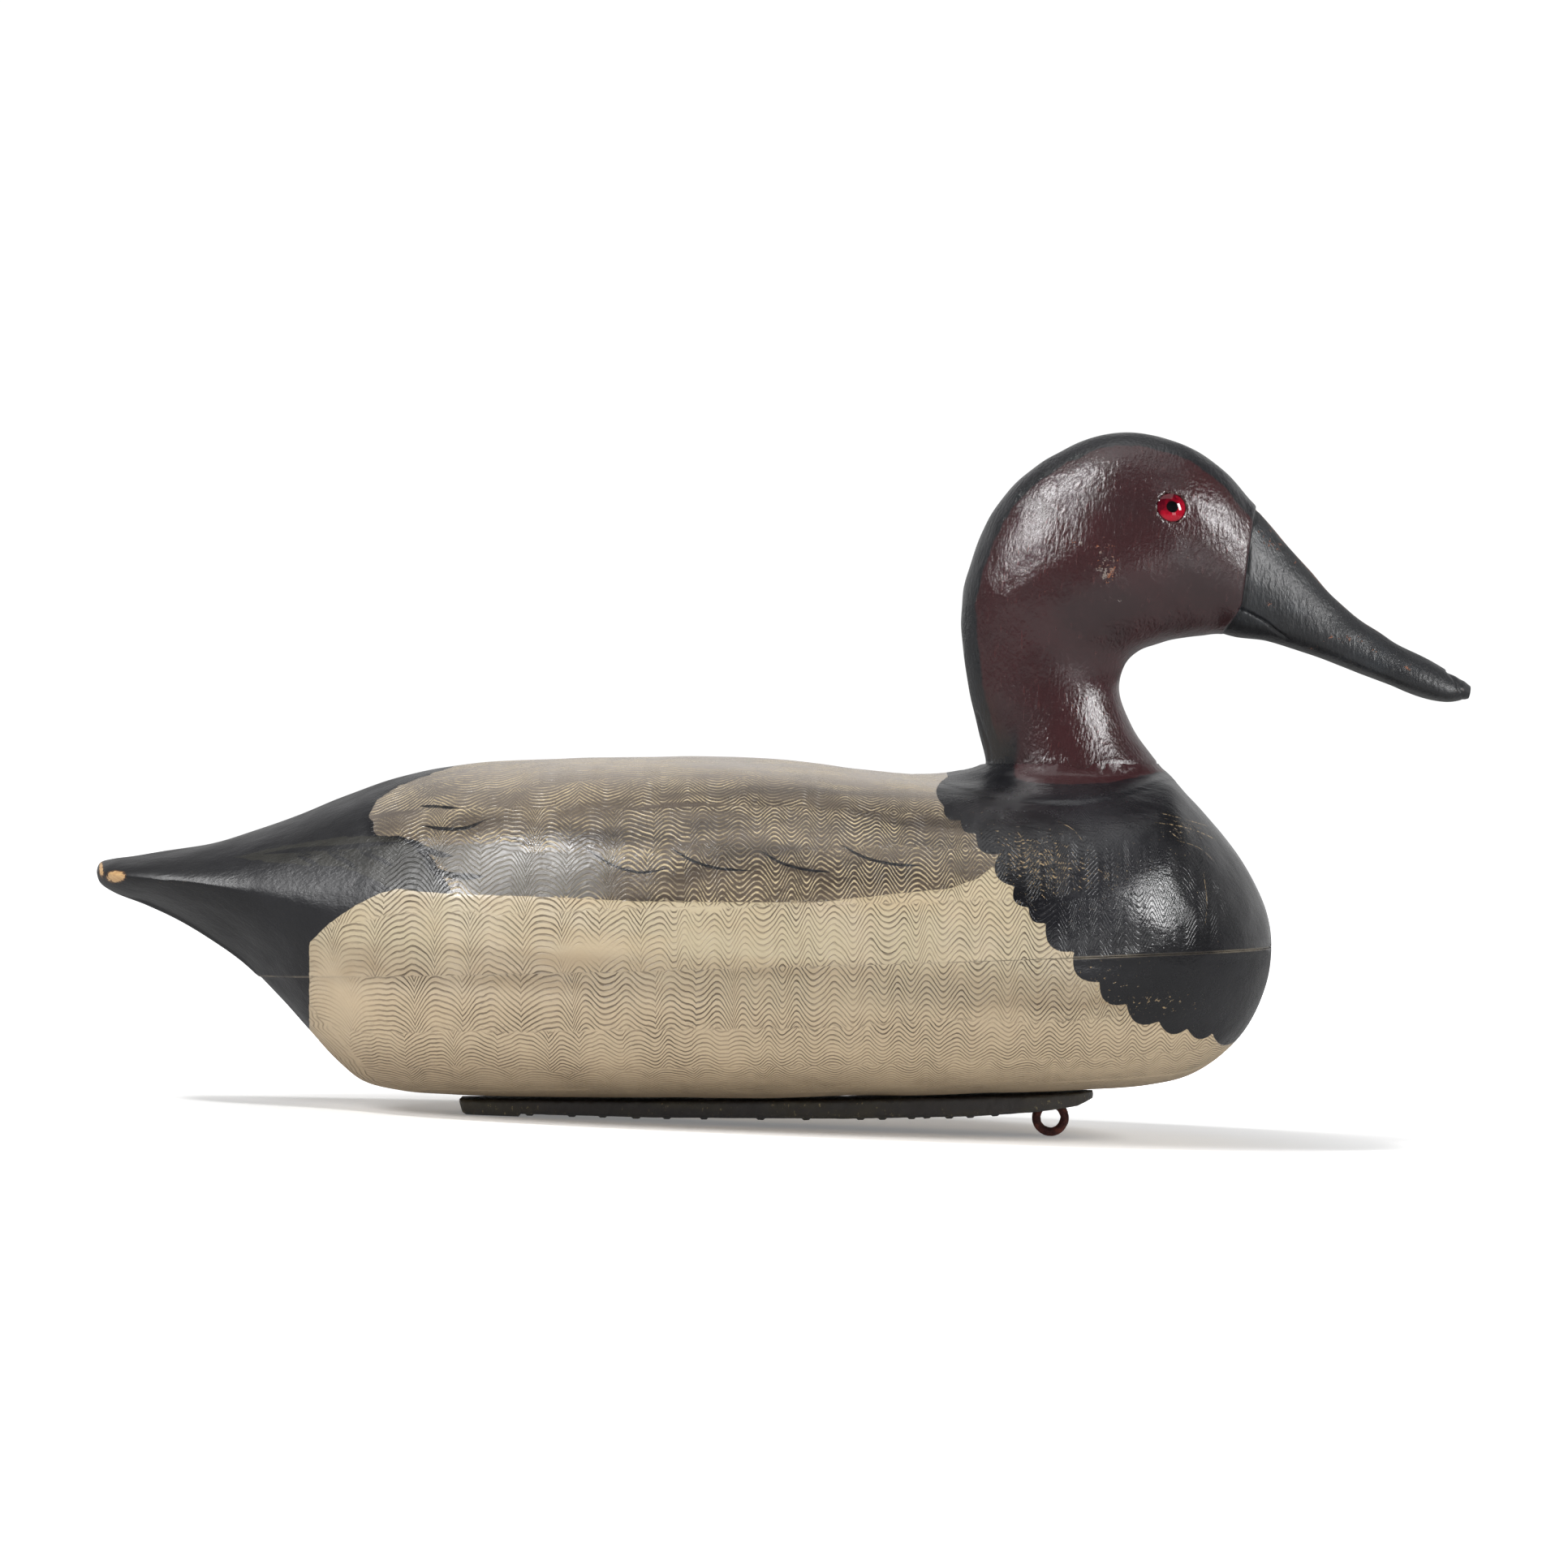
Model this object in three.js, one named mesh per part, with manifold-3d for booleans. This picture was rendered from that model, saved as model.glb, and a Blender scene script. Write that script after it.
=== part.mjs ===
// A working duck decoy: a carved and painted canvasback drake.
//
// The body is two blocks of wood joined at mid height. The head, neck and bill are one carving
// that sits on a flat on the back. Glass eyes are let into the head, a cast weight lies along the
// underside, and an iron ring for the anchor line passes through the weight near its nose.
//
// Everything is carved in the decoy's own frame, in millimetres: x runs from the tail to the bill
// with 0 at mid length, y to the decoy's left, and z up from the bottom of the ring. The whole is
// then set down the way it stands, on the ring and on the heel of the weight.

import * as THREE from 'three';
import { mergeVertices } from 'three/addons/utils/BufferGeometryUtils.js';
import Module from 'manifold-3d';

const wasm = await Module();
wasm.setup();

// Clearance between pieces that touch
const GAP = 0.3;
// How finely the round shapes are faceted
const BODY_STATIONS = 46;
const BODY_AROUND = 36;
const HEAD_RINGS = 52;
const HEAD_AROUND = 28;
const EYE_AROUND = 24;
const RING_AROUND = 28;
const WIRE_AROUND = 10;

// Body outlines as seen from the side, x then z
const BACK_LINE = [
  [-216.0, 83.4], [-215.2, 86.0], [-211.5, 87.4], [-200.7, 89.1], [-180.2, 92.4],
  [-159.8, 98.8], [-139.4, 106.7], [-119.0, 113.6], [-98.5, 117.4], [-67.9, 119.2],
  [-37.0, 119.7], [-6.6, 119.0], [24.0, 115.9], [50.0, 113.3], [85.0, 112.4],
  [110.0, 114.2], [120.5, 113.4], [127.3, 107.2], [134.4, 99.5], [143.3, 88.0],
  [149.7, 76.6], [152.5, 67.0], [153.1, 60.0],
];
const KEEL_LINE = [
  [-216.0, 83.4], [-215.2, 79.9], [-211.0, 76.8], [-200.7, 72.7], [-190.5, 67.9],
  [-180.2, 61.7], [-170.0, 54.4], [-159.8, 44.4], [-149.6, 33.1], [-139.4, 22.6],
  [-132.0, 17.0], [-120.0, 14.2], [-98.0, 12.9], [-23.0, 12.3], [32.0, 12.9],
  [93.0, 14.7], [114.0, 16.1], [128.0, 19.3], [139.0, 26.8], [147.9, 38.2],
  [152.0, 49.7], [153.1, 60.0],
];
// Half the body's width as seen from above, x then y
const WIDTH_LINE = [
  [-216.0, 0.0], [-215.2, 8.0], [-211.0, 16.0], [-200.0, 23.5], [-185.0, 29.5],
  [-165.0, 37.5], [-145.0, 47.5], [-120.0, 60.0], [-90.0, 71.5], [-55.0, 79.8],
  [-10.0, 84.0], [35.0, 84.3], [75.0, 80.5], [105.0, 72.5], [127.0, 60.0],
  [141.0, 46.0], [149.5, 29.0], [152.4, 14.0], [153.1, 0.0],
];
// Height of the widest place: the thin edge of the tail, then the bulge of the flank
const FLANK_LINE = [
  [-216.0, 83.4], [-205.0, 82.0], [-180.0, 79.5], [-152.0, 74.0], [-125.0, 65.5],
  [-95.0, 60.0], [-40.0, 57.5], [40.0, 58.0], [110.0, 59.5], [153.1, 60.0],
];
// How square a cross section is above and below the widest place: 2 is an ellipse
const UPPER_SQUARENESS = [
  [-216.0, 1.60], [-180.0, 1.65], [-150.0, 1.80], [-120.0, 2.00], [-60.0, 2.20],
  [60.0, 2.20], [120.0, 2.05], [153.1, 2.00],
];
const LOWER_SQUARENESS = [
  [-216.0, 1.60], [-195.0, 1.25], [-165.0, 1.30], [-138.0, 1.75], [-100.0, 2.30],
  [60.0, 2.40], [120.0, 2.20], [153.1, 2.00],
];

// The glued joint between the two blocks rises a little towards the breast
const SEAM_HEIGHT = 55.3;
const SEAM_SLOPE = 0.029;

// The flat that the neck sits on, and the swell around it: centre x, half length, half width, z
const SEAT_HEIGHT = 117.2;
const SEAT_SWELL = [
  [90.5, 26.8, 23.6, SEAT_HEIGHT], [88.6, 30.2, 27.0, 115.3], [85.6, 35.0, 30.3, 113.4],
  [83.5, 38.5, 33.4, 111.3], [82.5, 40.5, 37.2, 108.7], [82.0, 41.5, 42.0, 105.9],
  [82.0, 40.0, 44.0, 103.0], [82.0, 36.0, 40.0, 96.0],
];

// Ribs of the head: crown x and z, throat x and z, half width
const HEAD_RIBS = [
  [63.9, 117.5, 117.3, 117.5, 23.4],
  [60.6, 129.2, 109.4, 129.2, 20.2],
  [57.2, 144.5, 105.8, 141.4, 18.8],
  [55.7, 161.4, 107.9, 149.0, 19.4],
  [57.8, 178.2, 112.0, 152.6, 21.4],
  [65.7, 196.6, 116.5, 154.4, 23.2],
  [80.5, 211.9, 120.8, 155.6, 23.7],
  [103.5, 221.4, 126.0, 156.5, 22.8],
  [124.4, 218.3, 131.8, 157.2, 20.4],
  [138.4, 209.8, 137.0, 157.8, 17.6],
  [148.2, 198.9, 142.6, 156.7, 15.0],
  [160.5, 184.6, 152.0, 155.4, 12.9],
  [174.5, 169.2, 164.0, 152.0, 11.6],
  [190.3, 157.0, 182.4, 144.9, 11.2],
  [204.0, 149.5, 197.7, 139.0, 11.3],
  [212.6, 144.2, 208.6, 136.3, 9.6],
  [216.0, 141.6, 215.2, 137.6, 4.8],
];
// Where the bill starts, as a rib number, and how far the face stands proud of it
const BILL_RIB = 10;
const BILL_STEP = 0.6;
// By rib number: how far from crown to throat the head is widest, and how square it is above
// and below that place
const CHEEK_SHARE = [[0, 0.5], [3, 0.52], [6, 0.57], [9, 0.58], [11, 0.66], [14, 0.68], [16, 0.6]];
const CROWN_SQUARENESS = [[0, 2.0], [5, 1.95], [9, 1.95], [11, 1.75], [16, 1.9]];
const THROAT_SQUARENESS = [[0, 2.0], [4, 2.15], [9, 2.2], [11, 2.7], [14, 2.8], [16, 2.4]];
// The line of the mouth, cut into each side of the bill: x, y and z of its two ends
const MOUTH_LINE = [[143.2, 13.4, 166.0], [158.4, 10.6, 156.6]];
const MOUTH_DEPTH = 0.7;
const MOUTH_WIDTH = 0.9;

// Glass eyes: the middle of the rim, and the lens
const EYE_X = 120.9;
const EYE_Z = 197.0;
const EYE_SIDE = 19.6;
const EYE_RADIUS = 4.6;
const EYE_DEPTH = 3.0;
const EYE_BULGE = 1.9;
const EYE_TURN_FORWARD = THREE.MathUtils.degToRad(11);
const EYE_TURN_UP = THREE.MathUtils.degToRad(13);

// Ring for the anchor line
const RING_X = 83.9;
const RING_OUTER_RADIUS = 5.83;
const RING_WIRE_RADIUS = 1.41;

// The decoy stands on the ring and on a flat at the weight's heel: where that flat begins and ends
const HEEL_REAR = [-99.4, 7.3];
const HEEL_FRONT_X = -83.0;
const FLOOR_SLOPE = HEEL_REAR[1] / (RING_X - HEEL_REAR[0]);
const floorAt = (x) => HEEL_REAR[1] - FLOOR_SLOPE * (x - HEEL_REAR[0]);

// Cast weight: its underside from the heel to the nose, x then z, and its plan
const WEIGHT_UNDERSIDE = [
  [-101.6, 11.2], [-100.6, 8.0], HEEL_REAR, [HEEL_FRONT_X, floorAt(HEEL_FRONT_X)],
  [-82.4, 7.5], [-74.0, 7.2], [-40.0, 6.3], [20.0, 5.9], [60.0, 6.7], [80.0, 8.1],
  [92.0, 9.8], [97.4, 12.2],
];
const WEIGHT_WIDTH = 32;
const WEIGHT_HEEL_X = -101.6;
const WEIGHT_NOSE_X = 97.4;
const WEIGHT_CORNER = 5;
const WEIGHT_KEEL_GAP = 0.4;
// Behind this the keel curves up off the weight
const KEEL_LIFT_X = -85.0;
// Raised strokes cast on the underside
const STROKE_X = [
  -79.6, -66.1, -56.4, -45.9, -36.5, -25.2, -7.8, 6.5, 23.8, 31.0, 40.4, 45.3, 52.2, 58.5, 66.0,
];
const STROKE_HEIGHT = 0.6;
const STROKE_LENGTH = 2.4;
const STROKE_WIDTHS = [26, 23, 20];
const STROKE_ROOT = 1.4;

const COLOURS = {
  drabBack: 0x8a8173,
  sandyFlank: 0xbfb08f,
  maroonHead: 0x4a2a2c,
  redGlass: 0xb01018,
  blackLead: 0x25241f,
  rustyIron: 0x4a2a20,
};

// Returns a smooth curve through [a, b] pairs, read as b for a given a
function outline(pairs) {
  const points = pairs.map(([a, b]) => new THREE.Vector3(a, b, 0));
  const samples = new THREE.CatmullRomCurve3(points, false, 'centripetal').getPoints(800);
  return (a) => {
    let high = samples.findIndex((sample) => sample.x >= a);
    if (high < 1) high = high === 0 ? 1 : samples.length - 1;
    const from = samples[high - 1];
    const to = samples[high];
    const share = THREE.MathUtils.clamp((a - from.x) / (to.x - from.x || 1), 0, 1);
    return THREE.MathUtils.lerp(from.y, to.y, share);
  };
}

// One closed cross section through a top, a widest and a bottom place, as a superellipse.
// top and bottom are [x, z]; wide is [x, y, z].
function section(top, wide, bottom, upper, lower, count) {
  const ring = [];
  for (let i = 0; i < count; i += 1) {
    const turn = (2 * Math.PI * i) / count;
    const isUpper = Math.cos(turn) >= 0;
    const power = 2 / (isUpper ? upper : lower);
    const rise = Math.abs(Math.cos(turn)) ** power;
    const reach = Math.abs(Math.sin(turn)) ** power * Math.sign(Math.sin(turn));
    const end = isUpper ? top : bottom;
    const x = THREE.MathUtils.lerp(wide[0], end[0], rise);
    const z = THREE.MathUtils.lerp(wide[2], end[1], rise);
    ring.push(new THREE.Vector3(x, wide[1] * reach, z));
  }
  return ring;
}

// Skins rings of points into a closed mesh. An end is a point, or null to fill the ring flat.
function skin(rings, startPoint, endPoint) {
  const count = rings[0].length;
  const vertices = rings.flat();
  const faces = [];
  for (let r = 0; r + 1 < rings.length; r += 1) {
    for (let i = 0; i < count; i += 1) {
      const a = r * count + i;
      const b = r * count + ((i + 1) % count);
      faces.push(a, b, a + count, b, b + count, a + count);
    }
  }
  const middle = (ring) => ring.reduce((sum, p) => sum.add(p), new THREE.Vector3())
    .divideScalar(ring.length);
  const first = vertices.push(startPoint ?? middle(rings[0])) - 1;
  const last = vertices.push(endPoint ?? middle(rings.at(-1))) - 1;
  const base = (rings.length - 1) * count;
  for (let i = 0; i < count; i += 1) {
    const next = (i + 1) % count;
    faces.push(first, next, i);
    faces.push(last, base + i, base + next);
  }
  const geometry = new THREE.BufferGeometry().setFromPoints(vertices);
  geometry.setIndex(faces);
  return geometry;
}

// Turns a closed geometry into a solid that can be joined and cut
function solid(geometry) {
  const merged = mergeVertices(stripped(geometry), 1e-4);
  const vertProperties = new Float32Array(merged.attributes.position.array);
  const triVerts = new Uint32Array(merged.index.array);
  const made = new wasm.Manifold(new wasm.Mesh({ numProp: 3, vertProperties, triVerts }));
  return made.volume() < 0 ? solid(flipped(merged)) : made;
}

// Leaves only the positions on a geometry
function stripped(geometry) {
  const bare = geometry.clone();
  bare.deleteAttribute('normal');
  bare.deleteAttribute('uv');
  return bare;
}

// Turns every face of a geometry round
function flipped(geometry) {
  const turned = geometry.clone();
  const index = turned.index.array;
  for (let i = 0; i < index.length; i += 3) {
    [index[i], index[i + 1]] = [index[i + 1], index[i]];
  }
  return turned;
}

// Gives a solid's surface back as a geometry
function surface(made) {
  const mesh = made.getMesh();
  const geometry = new THREE.BufferGeometry();
  const positions = new Float32Array(mesh.vertProperties);
  geometry.setAttribute('position', new THREE.BufferAttribute(positions, 3));
  geometry.setIndex(new THREE.BufferAttribute(new Uint32Array(mesh.triVerts), 1));
  return geometry;
}

const backAt = outline(BACK_LINE);
const keelAt = outline(KEEL_LINE);
const widthAt = outline(WIDTH_LINE);
const flankAt = outline(FLANK_LINE);
const upperAt = outline(UPPER_SQUARENESS);
const lowerAt = outline(LOWER_SQUARENESS);

// The body in one piece, before it is parted at the seam
function bodyBlank() {
  const [tailX, tailZ] = BACK_LINE[0];
  const [breastX, breastZ] = BACK_LINE.at(-1);
  const rings = [];
  for (let i = 1; i < BODY_STATIONS; i += 1) {
    const share = (1 - Math.cos((Math.PI * i) / BODY_STATIONS)) / 2;
    const x = THREE.MathUtils.lerp(tailX, breastX, share);
    const wide = [x, widthAt(x), flankAt(x)];
    rings.push(section([x, backAt(x)], wide, [x, keelAt(x)], upperAt(x), lowerAt(x), BODY_AROUND));
  }
  const tail = new THREE.Vector3(tailX, 0, tailZ);
  const breast = new THREE.Vector3(breastX, 0, breastZ);
  return solid(skin(rings, tail, breast));
}

// The swell of wood around the neck, flat on top
function neckSeat() {
  const rings = SEAT_SWELL.map(([x, halfLength, halfWidth, z]) => {
    const ring = [];
    for (let i = 0; i < BODY_AROUND; i += 1) {
      const turn = (2 * Math.PI * i) / BODY_AROUND;
      ring.push(new THREE.Vector3(x + halfLength * Math.cos(turn), halfWidth * Math.sin(turn), z));
    }
    return ring;
  });
  return solid(skin(rings, null, null));
}

// A slab that fills everything on one side of the seam plane, moved off it by half the gap
function seamSlab(side) {
  const [length, width, thickness] = [600, 300, 200];
  const slab = new THREE.BoxGeometry(length, width, thickness);
  slab.translate(0, 0, (side * (thickness + GAP)) / 2);
  slab.rotateY(-Math.atan(SEAM_SLOPE));
  slab.translate(0, 0, SEAM_HEIGHT);
  return solid(slab);
}

// Ribs of the head as three curves that share one parameter, from the neck's base to the tip
function headCurves() {
  const along = (pick) => new THREE.CatmullRomCurve3(HEAD_RIBS.map(pick), false, 'centripetal');
  return {
    crown: along(([x, z]) => new THREE.Vector3(x, 0, z)),
    throat: along(([, , x, z]) => new THREE.Vector3(x, 0, z)),
    width: along(([x, z, , , halfWidth]) => new THREE.Vector3(x, halfWidth, z)),
  };
}

// The head, neck and bill, before anything is cut into them
function headBlank() {
  const { crown, throat, width } = headCurves();
  const cheekAt = outline(CHEEK_SHARE);
  const crownSquarenessAt = outline(CROWN_SQUARENESS);
  const throatSquarenessAt = outline(THROAT_SQUARENESS);
  const last = HEAD_RIBS.length - 1;
  const rings = [];
  for (let i = 0; i <= HEAD_RINGS; i += 1) {
    const rib = (last * i) / HEAD_RINGS;
    const top = crown.getPoint(rib / last);
    const bottom = throat.getPoint(rib / last);
    const side = top.clone().lerp(bottom, cheekAt(rib));
    const step = rib > BILL_RIB ? BILL_STEP : 0;
    const wide = [side.x, width.getPoint(rib / last).y - step, side.z];
    const upper = crownSquarenessAt(rib);
    const lower = throatSquarenessAt(rib);
    rings.push(section([top.x, top.z], wide, [bottom.x, bottom.z], upper, lower, HEAD_AROUND));
  }
  return solid(skin(rings, null, null));
}

// A fine bar along the line of the mouth on one side, to be cut out of the bill
function mouthCut(side) {
  const [from, to] = MOUTH_LINE.map(([x, y, z]) => new THREE.Vector3(x, side * y, z));
  const along = to.clone().sub(from);
  const bar = new THREE.BoxGeometry(along.length(), 2 * MOUTH_DEPTH, MOUTH_WIDTH);
  const middle = from.clone().add(to).divideScalar(2);
  const turn = new THREE.Quaternion().setFromUnitVectors(new THREE.Vector3(1, 0, 0),
    along.normalize());
  bar.applyQuaternion(turn);
  bar.translate(middle.x, middle.y, middle.z);
  return solid(bar);
}

// Places a shape that is built along +z so that it looks out of the side of the head
function towardsEye(geometry, side) {
  geometry.rotateX(-side * Math.PI / 2);
  geometry.rotateX(side * EYE_TURN_UP);
  geometry.rotateZ(-side * EYE_TURN_FORWARD);
  geometry.translate(EYE_X, side * EYE_SIDE, EYE_Z);
  return geometry;
}

// A closed turned shape along +z, from radius and height pairs that start and end on the axis
function turned(profile) {
  const points = profile.map(([radius, z]) => new THREE.Vector2(radius, z));
  const geometry = new THREE.LatheGeometry(points, EYE_AROUND);
  geometry.rotateX(Math.PI / 2);
  return geometry;
}

// A plug of glass with a low dome
function eyeball(side) {
  const profile = [[0, -EYE_DEPTH], [EYE_RADIUS, -EYE_DEPTH]];
  const steps = 4;
  for (let i = 0; i < steps; i += 1) {
    const turn = (Math.PI / 2) * (i / steps);
    profile.push([EYE_RADIUS * Math.cos(turn), EYE_BULGE * Math.sin(turn)]);
  }
  profile.push([0, EYE_BULGE]);
  return solid(towardsEye(turned(profile), side));
}

// The round hole that the eye sits in, open outwards
function eyeSocket(side) {
  const radius = EYE_RADIUS + GAP;
  const floor = -EYE_DEPTH - GAP;
  const mouth = 3 * EYE_RADIUS;
  return solid(towardsEye(turned([[0, floor], [radius, floor], [radius, mouth], [0, mouth]]), side));
}

// Everything below the joint between the head and the body
function belowSeat() {
  const [length, width, depth] = [200, 200, 100];
  const box = new THREE.BoxGeometry(length, width, depth);
  box.translate(length / 2, 0, SEAT_HEIGHT + GAP - depth / 2);
  return solid(box);
}

// The finished carving of the head
function head() {
  let carving = headBlank().subtract(belowSeat());
  [1, -1].forEach((side) => {
    carving = carving.subtract(eyeSocket(side)).subtract(mouthCut(side));
  });
  return carving;
}

// The two blocks of the body, parted at the seam
function bodyHalves() {
  const blank = bodyBlank().add(neckSeat());
  return { upper: blank.intersect(seamSlab(1)), lower: blank.intersect(seamSlab(-1)) };
}

// The weight seen from the side: its top follows the keel line
function weightSide() {
  const keelTouch = (x) => keelAt(Math.max(x, KEEL_LIFT_X)) - WEIGHT_KEEL_GAP;
  const shape = new THREE.Shape();
  shape.moveTo(WEIGHT_HEEL_X, keelTouch(WEIGHT_HEEL_X));
  WEIGHT_UNDERSIDE.forEach(([x, z]) => shape.lineTo(x, z));
  const steps = 24;
  const topNoseX = WEIGHT_NOSE_X - 1.5;
  for (let i = 0; i < steps; i += 1) {
    const x = THREE.MathUtils.lerp(topNoseX, WEIGHT_HEEL_X, i / steps);
    shape.lineTo(x, keelTouch(x));
  }
  return shape;
}

// The weight seen from below: small corners at the heel and a round nose
function weightPlan() {
  const half = WEIGHT_WIDTH / 2;
  const heel = WEIGHT_HEEL_X + WEIGHT_CORNER;
  const nose = WEIGHT_NOSE_X - half;
  const inset = half - WEIGHT_CORNER;
  const shape = new THREE.Shape();
  shape.moveTo(heel, -half);
  shape.lineTo(nose, -half);
  shape.absarc(nose, 0, half, -Math.PI / 2, Math.PI / 2, false);
  shape.lineTo(heel, half);
  shape.absarc(heel, inset, WEIGHT_CORNER, Math.PI / 2, Math.PI, false);
  shape.absarc(heel, -inset, WEIGHT_CORNER, Math.PI, 1.5 * Math.PI, false);
  return shape;
}

// The cast weight, with its strokes, and with a slot that the ring passes through
function weight() {
  const slice = new THREE.ExtrudeGeometry(weightSide(), { depth: WEIGHT_WIDTH, bevelEnabled: false });
  slice.rotateX(Math.PI / 2);
  slice.translate(0, WEIGHT_WIDTH / 2, 0);
  const height = WEIGHT_WIDTH;
  const block = new THREE.ExtrudeGeometry(weightPlan(), {
    depth: height, bevelEnabled: false, curveSegments: 8,
  });
  let cast = solid(slice).intersect(solid(block));
  const underside = outline(WEIGHT_UNDERSIDE);
  STROKE_X.forEach((x, i) => {
    const width = STROKE_WIDTHS[i % STROKE_WIDTHS.length];
    const stroke = new THREE.BoxGeometry(STROKE_LENGTH, width, STROKE_HEIGHT + STROKE_ROOT);
    stroke.translate(x, 0, underside(x) + (STROKE_ROOT - STROKE_HEIGHT) / 2);
    cast = cast.add(solid(stroke));
  });
  return cast.subtract(torus(RING_WIRE_RADIUS + GAP));
}

// The ring, or with a thicker wire the slot that it needs
function torus(wireRadius) {
  const middle = RING_OUTER_RADIUS - RING_WIRE_RADIUS;
  const ring = new THREE.TorusGeometry(middle, wireRadius, WIRE_AROUND, RING_AROUND);
  ring.rotateX(Math.PI / 2);
  ring.translate(RING_X, 0, RING_OUTER_RADIUS);
  return solid(ring);
}

// A named mesh of one piece
function piece(name, made, colour, roughness, metalness) {
  const material = new THREE.MeshStandardMaterial({ color: colour, roughness, metalness });
  const mesh = new THREE.Mesh(surface(made), material);
  mesh.name = name;
  return mesh;
}

const { upper, lower } = bodyHalves();
const decoy = new THREE.Group();
decoy.add(piece('body_upper', upper, COLOURS.drabBack, 0.45, 0));
decoy.add(piece('body_lower', lower, COLOURS.sandyFlank, 0.5, 0));
decoy.add(piece('head', head(), COLOURS.maroonHead, 0.35, 0));
decoy.add(piece('eye_left', eyeball(1), COLOURS.redGlass, 0.05, 0));
decoy.add(piece('eye_right', eyeball(-1), COLOURS.redGlass, 0.05, 0));
decoy.add(piece('ballast_weight', weight(), COLOURS.blackLead, 0.5, 0.2));
decoy.add(piece('line_tie_ring', torus(RING_WIRE_RADIUS), COLOURS.rustyIron, 0.7, 0.5));

// Set down on the ring and on the heel of the weight, which tips the breast up a little
decoy.rotation.y = -Math.atan(FLOOR_SLOPE);
decoy.updateMatrixWorld(true);
const box = new THREE.Box3().setFromObject(decoy, true);
decoy.position.set(-(box.min.x + box.max.x) / 2, -(box.min.y + box.max.y) / 2, -box.min.z);

const part = new THREE.Group();
part.add(decoy);

export default part;
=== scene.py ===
"""The finished look of a working duck decoy: a carved and painted canvasback drake.

Shapes are worked out in the decoy's own carving frame, in millimetres: x runs from the tail to
the bill, y to the decoy's left and z up from the bottom of the ring. Placing then sets every
point down in the shared frame, in metres, where the decoy stands on its ring and its weight.
"""

import logging
import math
from dataclasses import dataclass, replace
from enum import Enum

import bpy
import numpy as np
from mathutils import Matrix, Vector


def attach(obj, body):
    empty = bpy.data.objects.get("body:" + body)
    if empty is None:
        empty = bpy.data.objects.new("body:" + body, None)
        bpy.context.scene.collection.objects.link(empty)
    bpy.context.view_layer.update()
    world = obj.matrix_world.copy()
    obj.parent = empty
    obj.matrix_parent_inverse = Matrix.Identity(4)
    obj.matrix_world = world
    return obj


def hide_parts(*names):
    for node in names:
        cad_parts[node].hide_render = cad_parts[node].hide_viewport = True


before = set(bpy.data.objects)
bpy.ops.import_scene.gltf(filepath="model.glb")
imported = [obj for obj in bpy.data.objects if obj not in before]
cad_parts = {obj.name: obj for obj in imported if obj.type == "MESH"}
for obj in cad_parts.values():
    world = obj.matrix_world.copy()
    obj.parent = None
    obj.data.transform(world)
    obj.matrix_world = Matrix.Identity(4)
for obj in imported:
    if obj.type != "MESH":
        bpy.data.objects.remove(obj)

log = logging.getLogger("decoy")

Array = np.ndarray
Pairs = tuple[tuple[float, ...], ...]
Triple = tuple[float, float, float]
Socket = bpy.types.NodeSocket
Value = Socket | float
Colour = tuple[float, float, float, float]

METRES_PER_MM = 0.001
KEYS_PER_MM = 5000.0
SHARP_EDGE = math.radians(52.0)
ARC_SHARES = (0.0, 0.08, 0.2, 0.35, 0.5, 0.65, 0.8, 0.92)


class Side(Enum):
    """The decoy's own left and right; the photograph shows its right."""

    LEFT = 1
    RIGHT = -1


class Block(Enum):
    """The two blocks of wood that the body is made of."""

    UPPER = 1
    LOWER = -1


# Curves, fields and meshes


def curve_points(points: Pairs, where: Array) -> Array:
    """Reads a centripetal Catmull-Rom curve through points.

    Each stretch between two points is the cubic whose end slopes come from the neighbouring
    points, weighted by the square roots of the distances between them. The end points get a
    mirrored neighbour.

    Args:
        points: The points that the curve goes through.
        where: Places along the curve, counted in points from 0.

    Returns:
        One row for each place.
    """
    known = np.asarray(points, float)
    padded = np.vstack([2 * known[0] - known[1], known, 2 * known[-1] - known[-2]])
    gaps = np.sqrt(np.linalg.norm(np.diff(padded, axis=0), axis=1))[:, None]
    stretch = np.clip(np.floor(where).astype(int), 0, len(known) - 2)
    share = (where - stretch)[:, None]
    before, start, end, after = (padded[stretch + k] for k in range(4))
    gap_before, gap, gap_after = (gaps[stretch + k] for k in range(3))
    slope_start = gap * ((start - before) / gap_before + (end - start) / gap
                         - (end - before) / (gap_before + gap))
    slope_end = gap * ((end - start) / gap + (after - end) / gap_after
                       - (after - start) / (gap + gap_after))
    cubic = 2 * start - 2 * end + slope_start + slope_end
    square = 3 * end - 3 * start - 2 * slope_start - slope_end
    return ((cubic * share + square) * share + slope_start) * share + start


class Outline:
    """A smooth curve through pairs of numbers, read as the second for a given first."""

    def __init__(self, pairs: Pairs) -> None:
        """Samples the curve through the pairs.

        Args:
            pairs: Numbers in two columns, with the first one rising.
        """
        samples = curve_points(pairs, np.linspace(0, len(pairs) - 1, 1601))
        self.first = np.maximum.accumulate(samples[:, 0])
        self.second = samples[:, 1]

    def __call__(self, at: Array) -> Array:
        """Returns the curve's second number at each given first number."""
        return np.interp(at, self.first, self.second)


def smooth_step(value: Array, low: float, high: float) -> Array:
    """Returns 0 below low, 1 above high, and the cubic 3t^2 - 2t^3 between them."""
    share = np.clip((value - low) / (high - low), 0.0, 1.0)
    return share * share * (3.0 - 2.0 * share)


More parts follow.
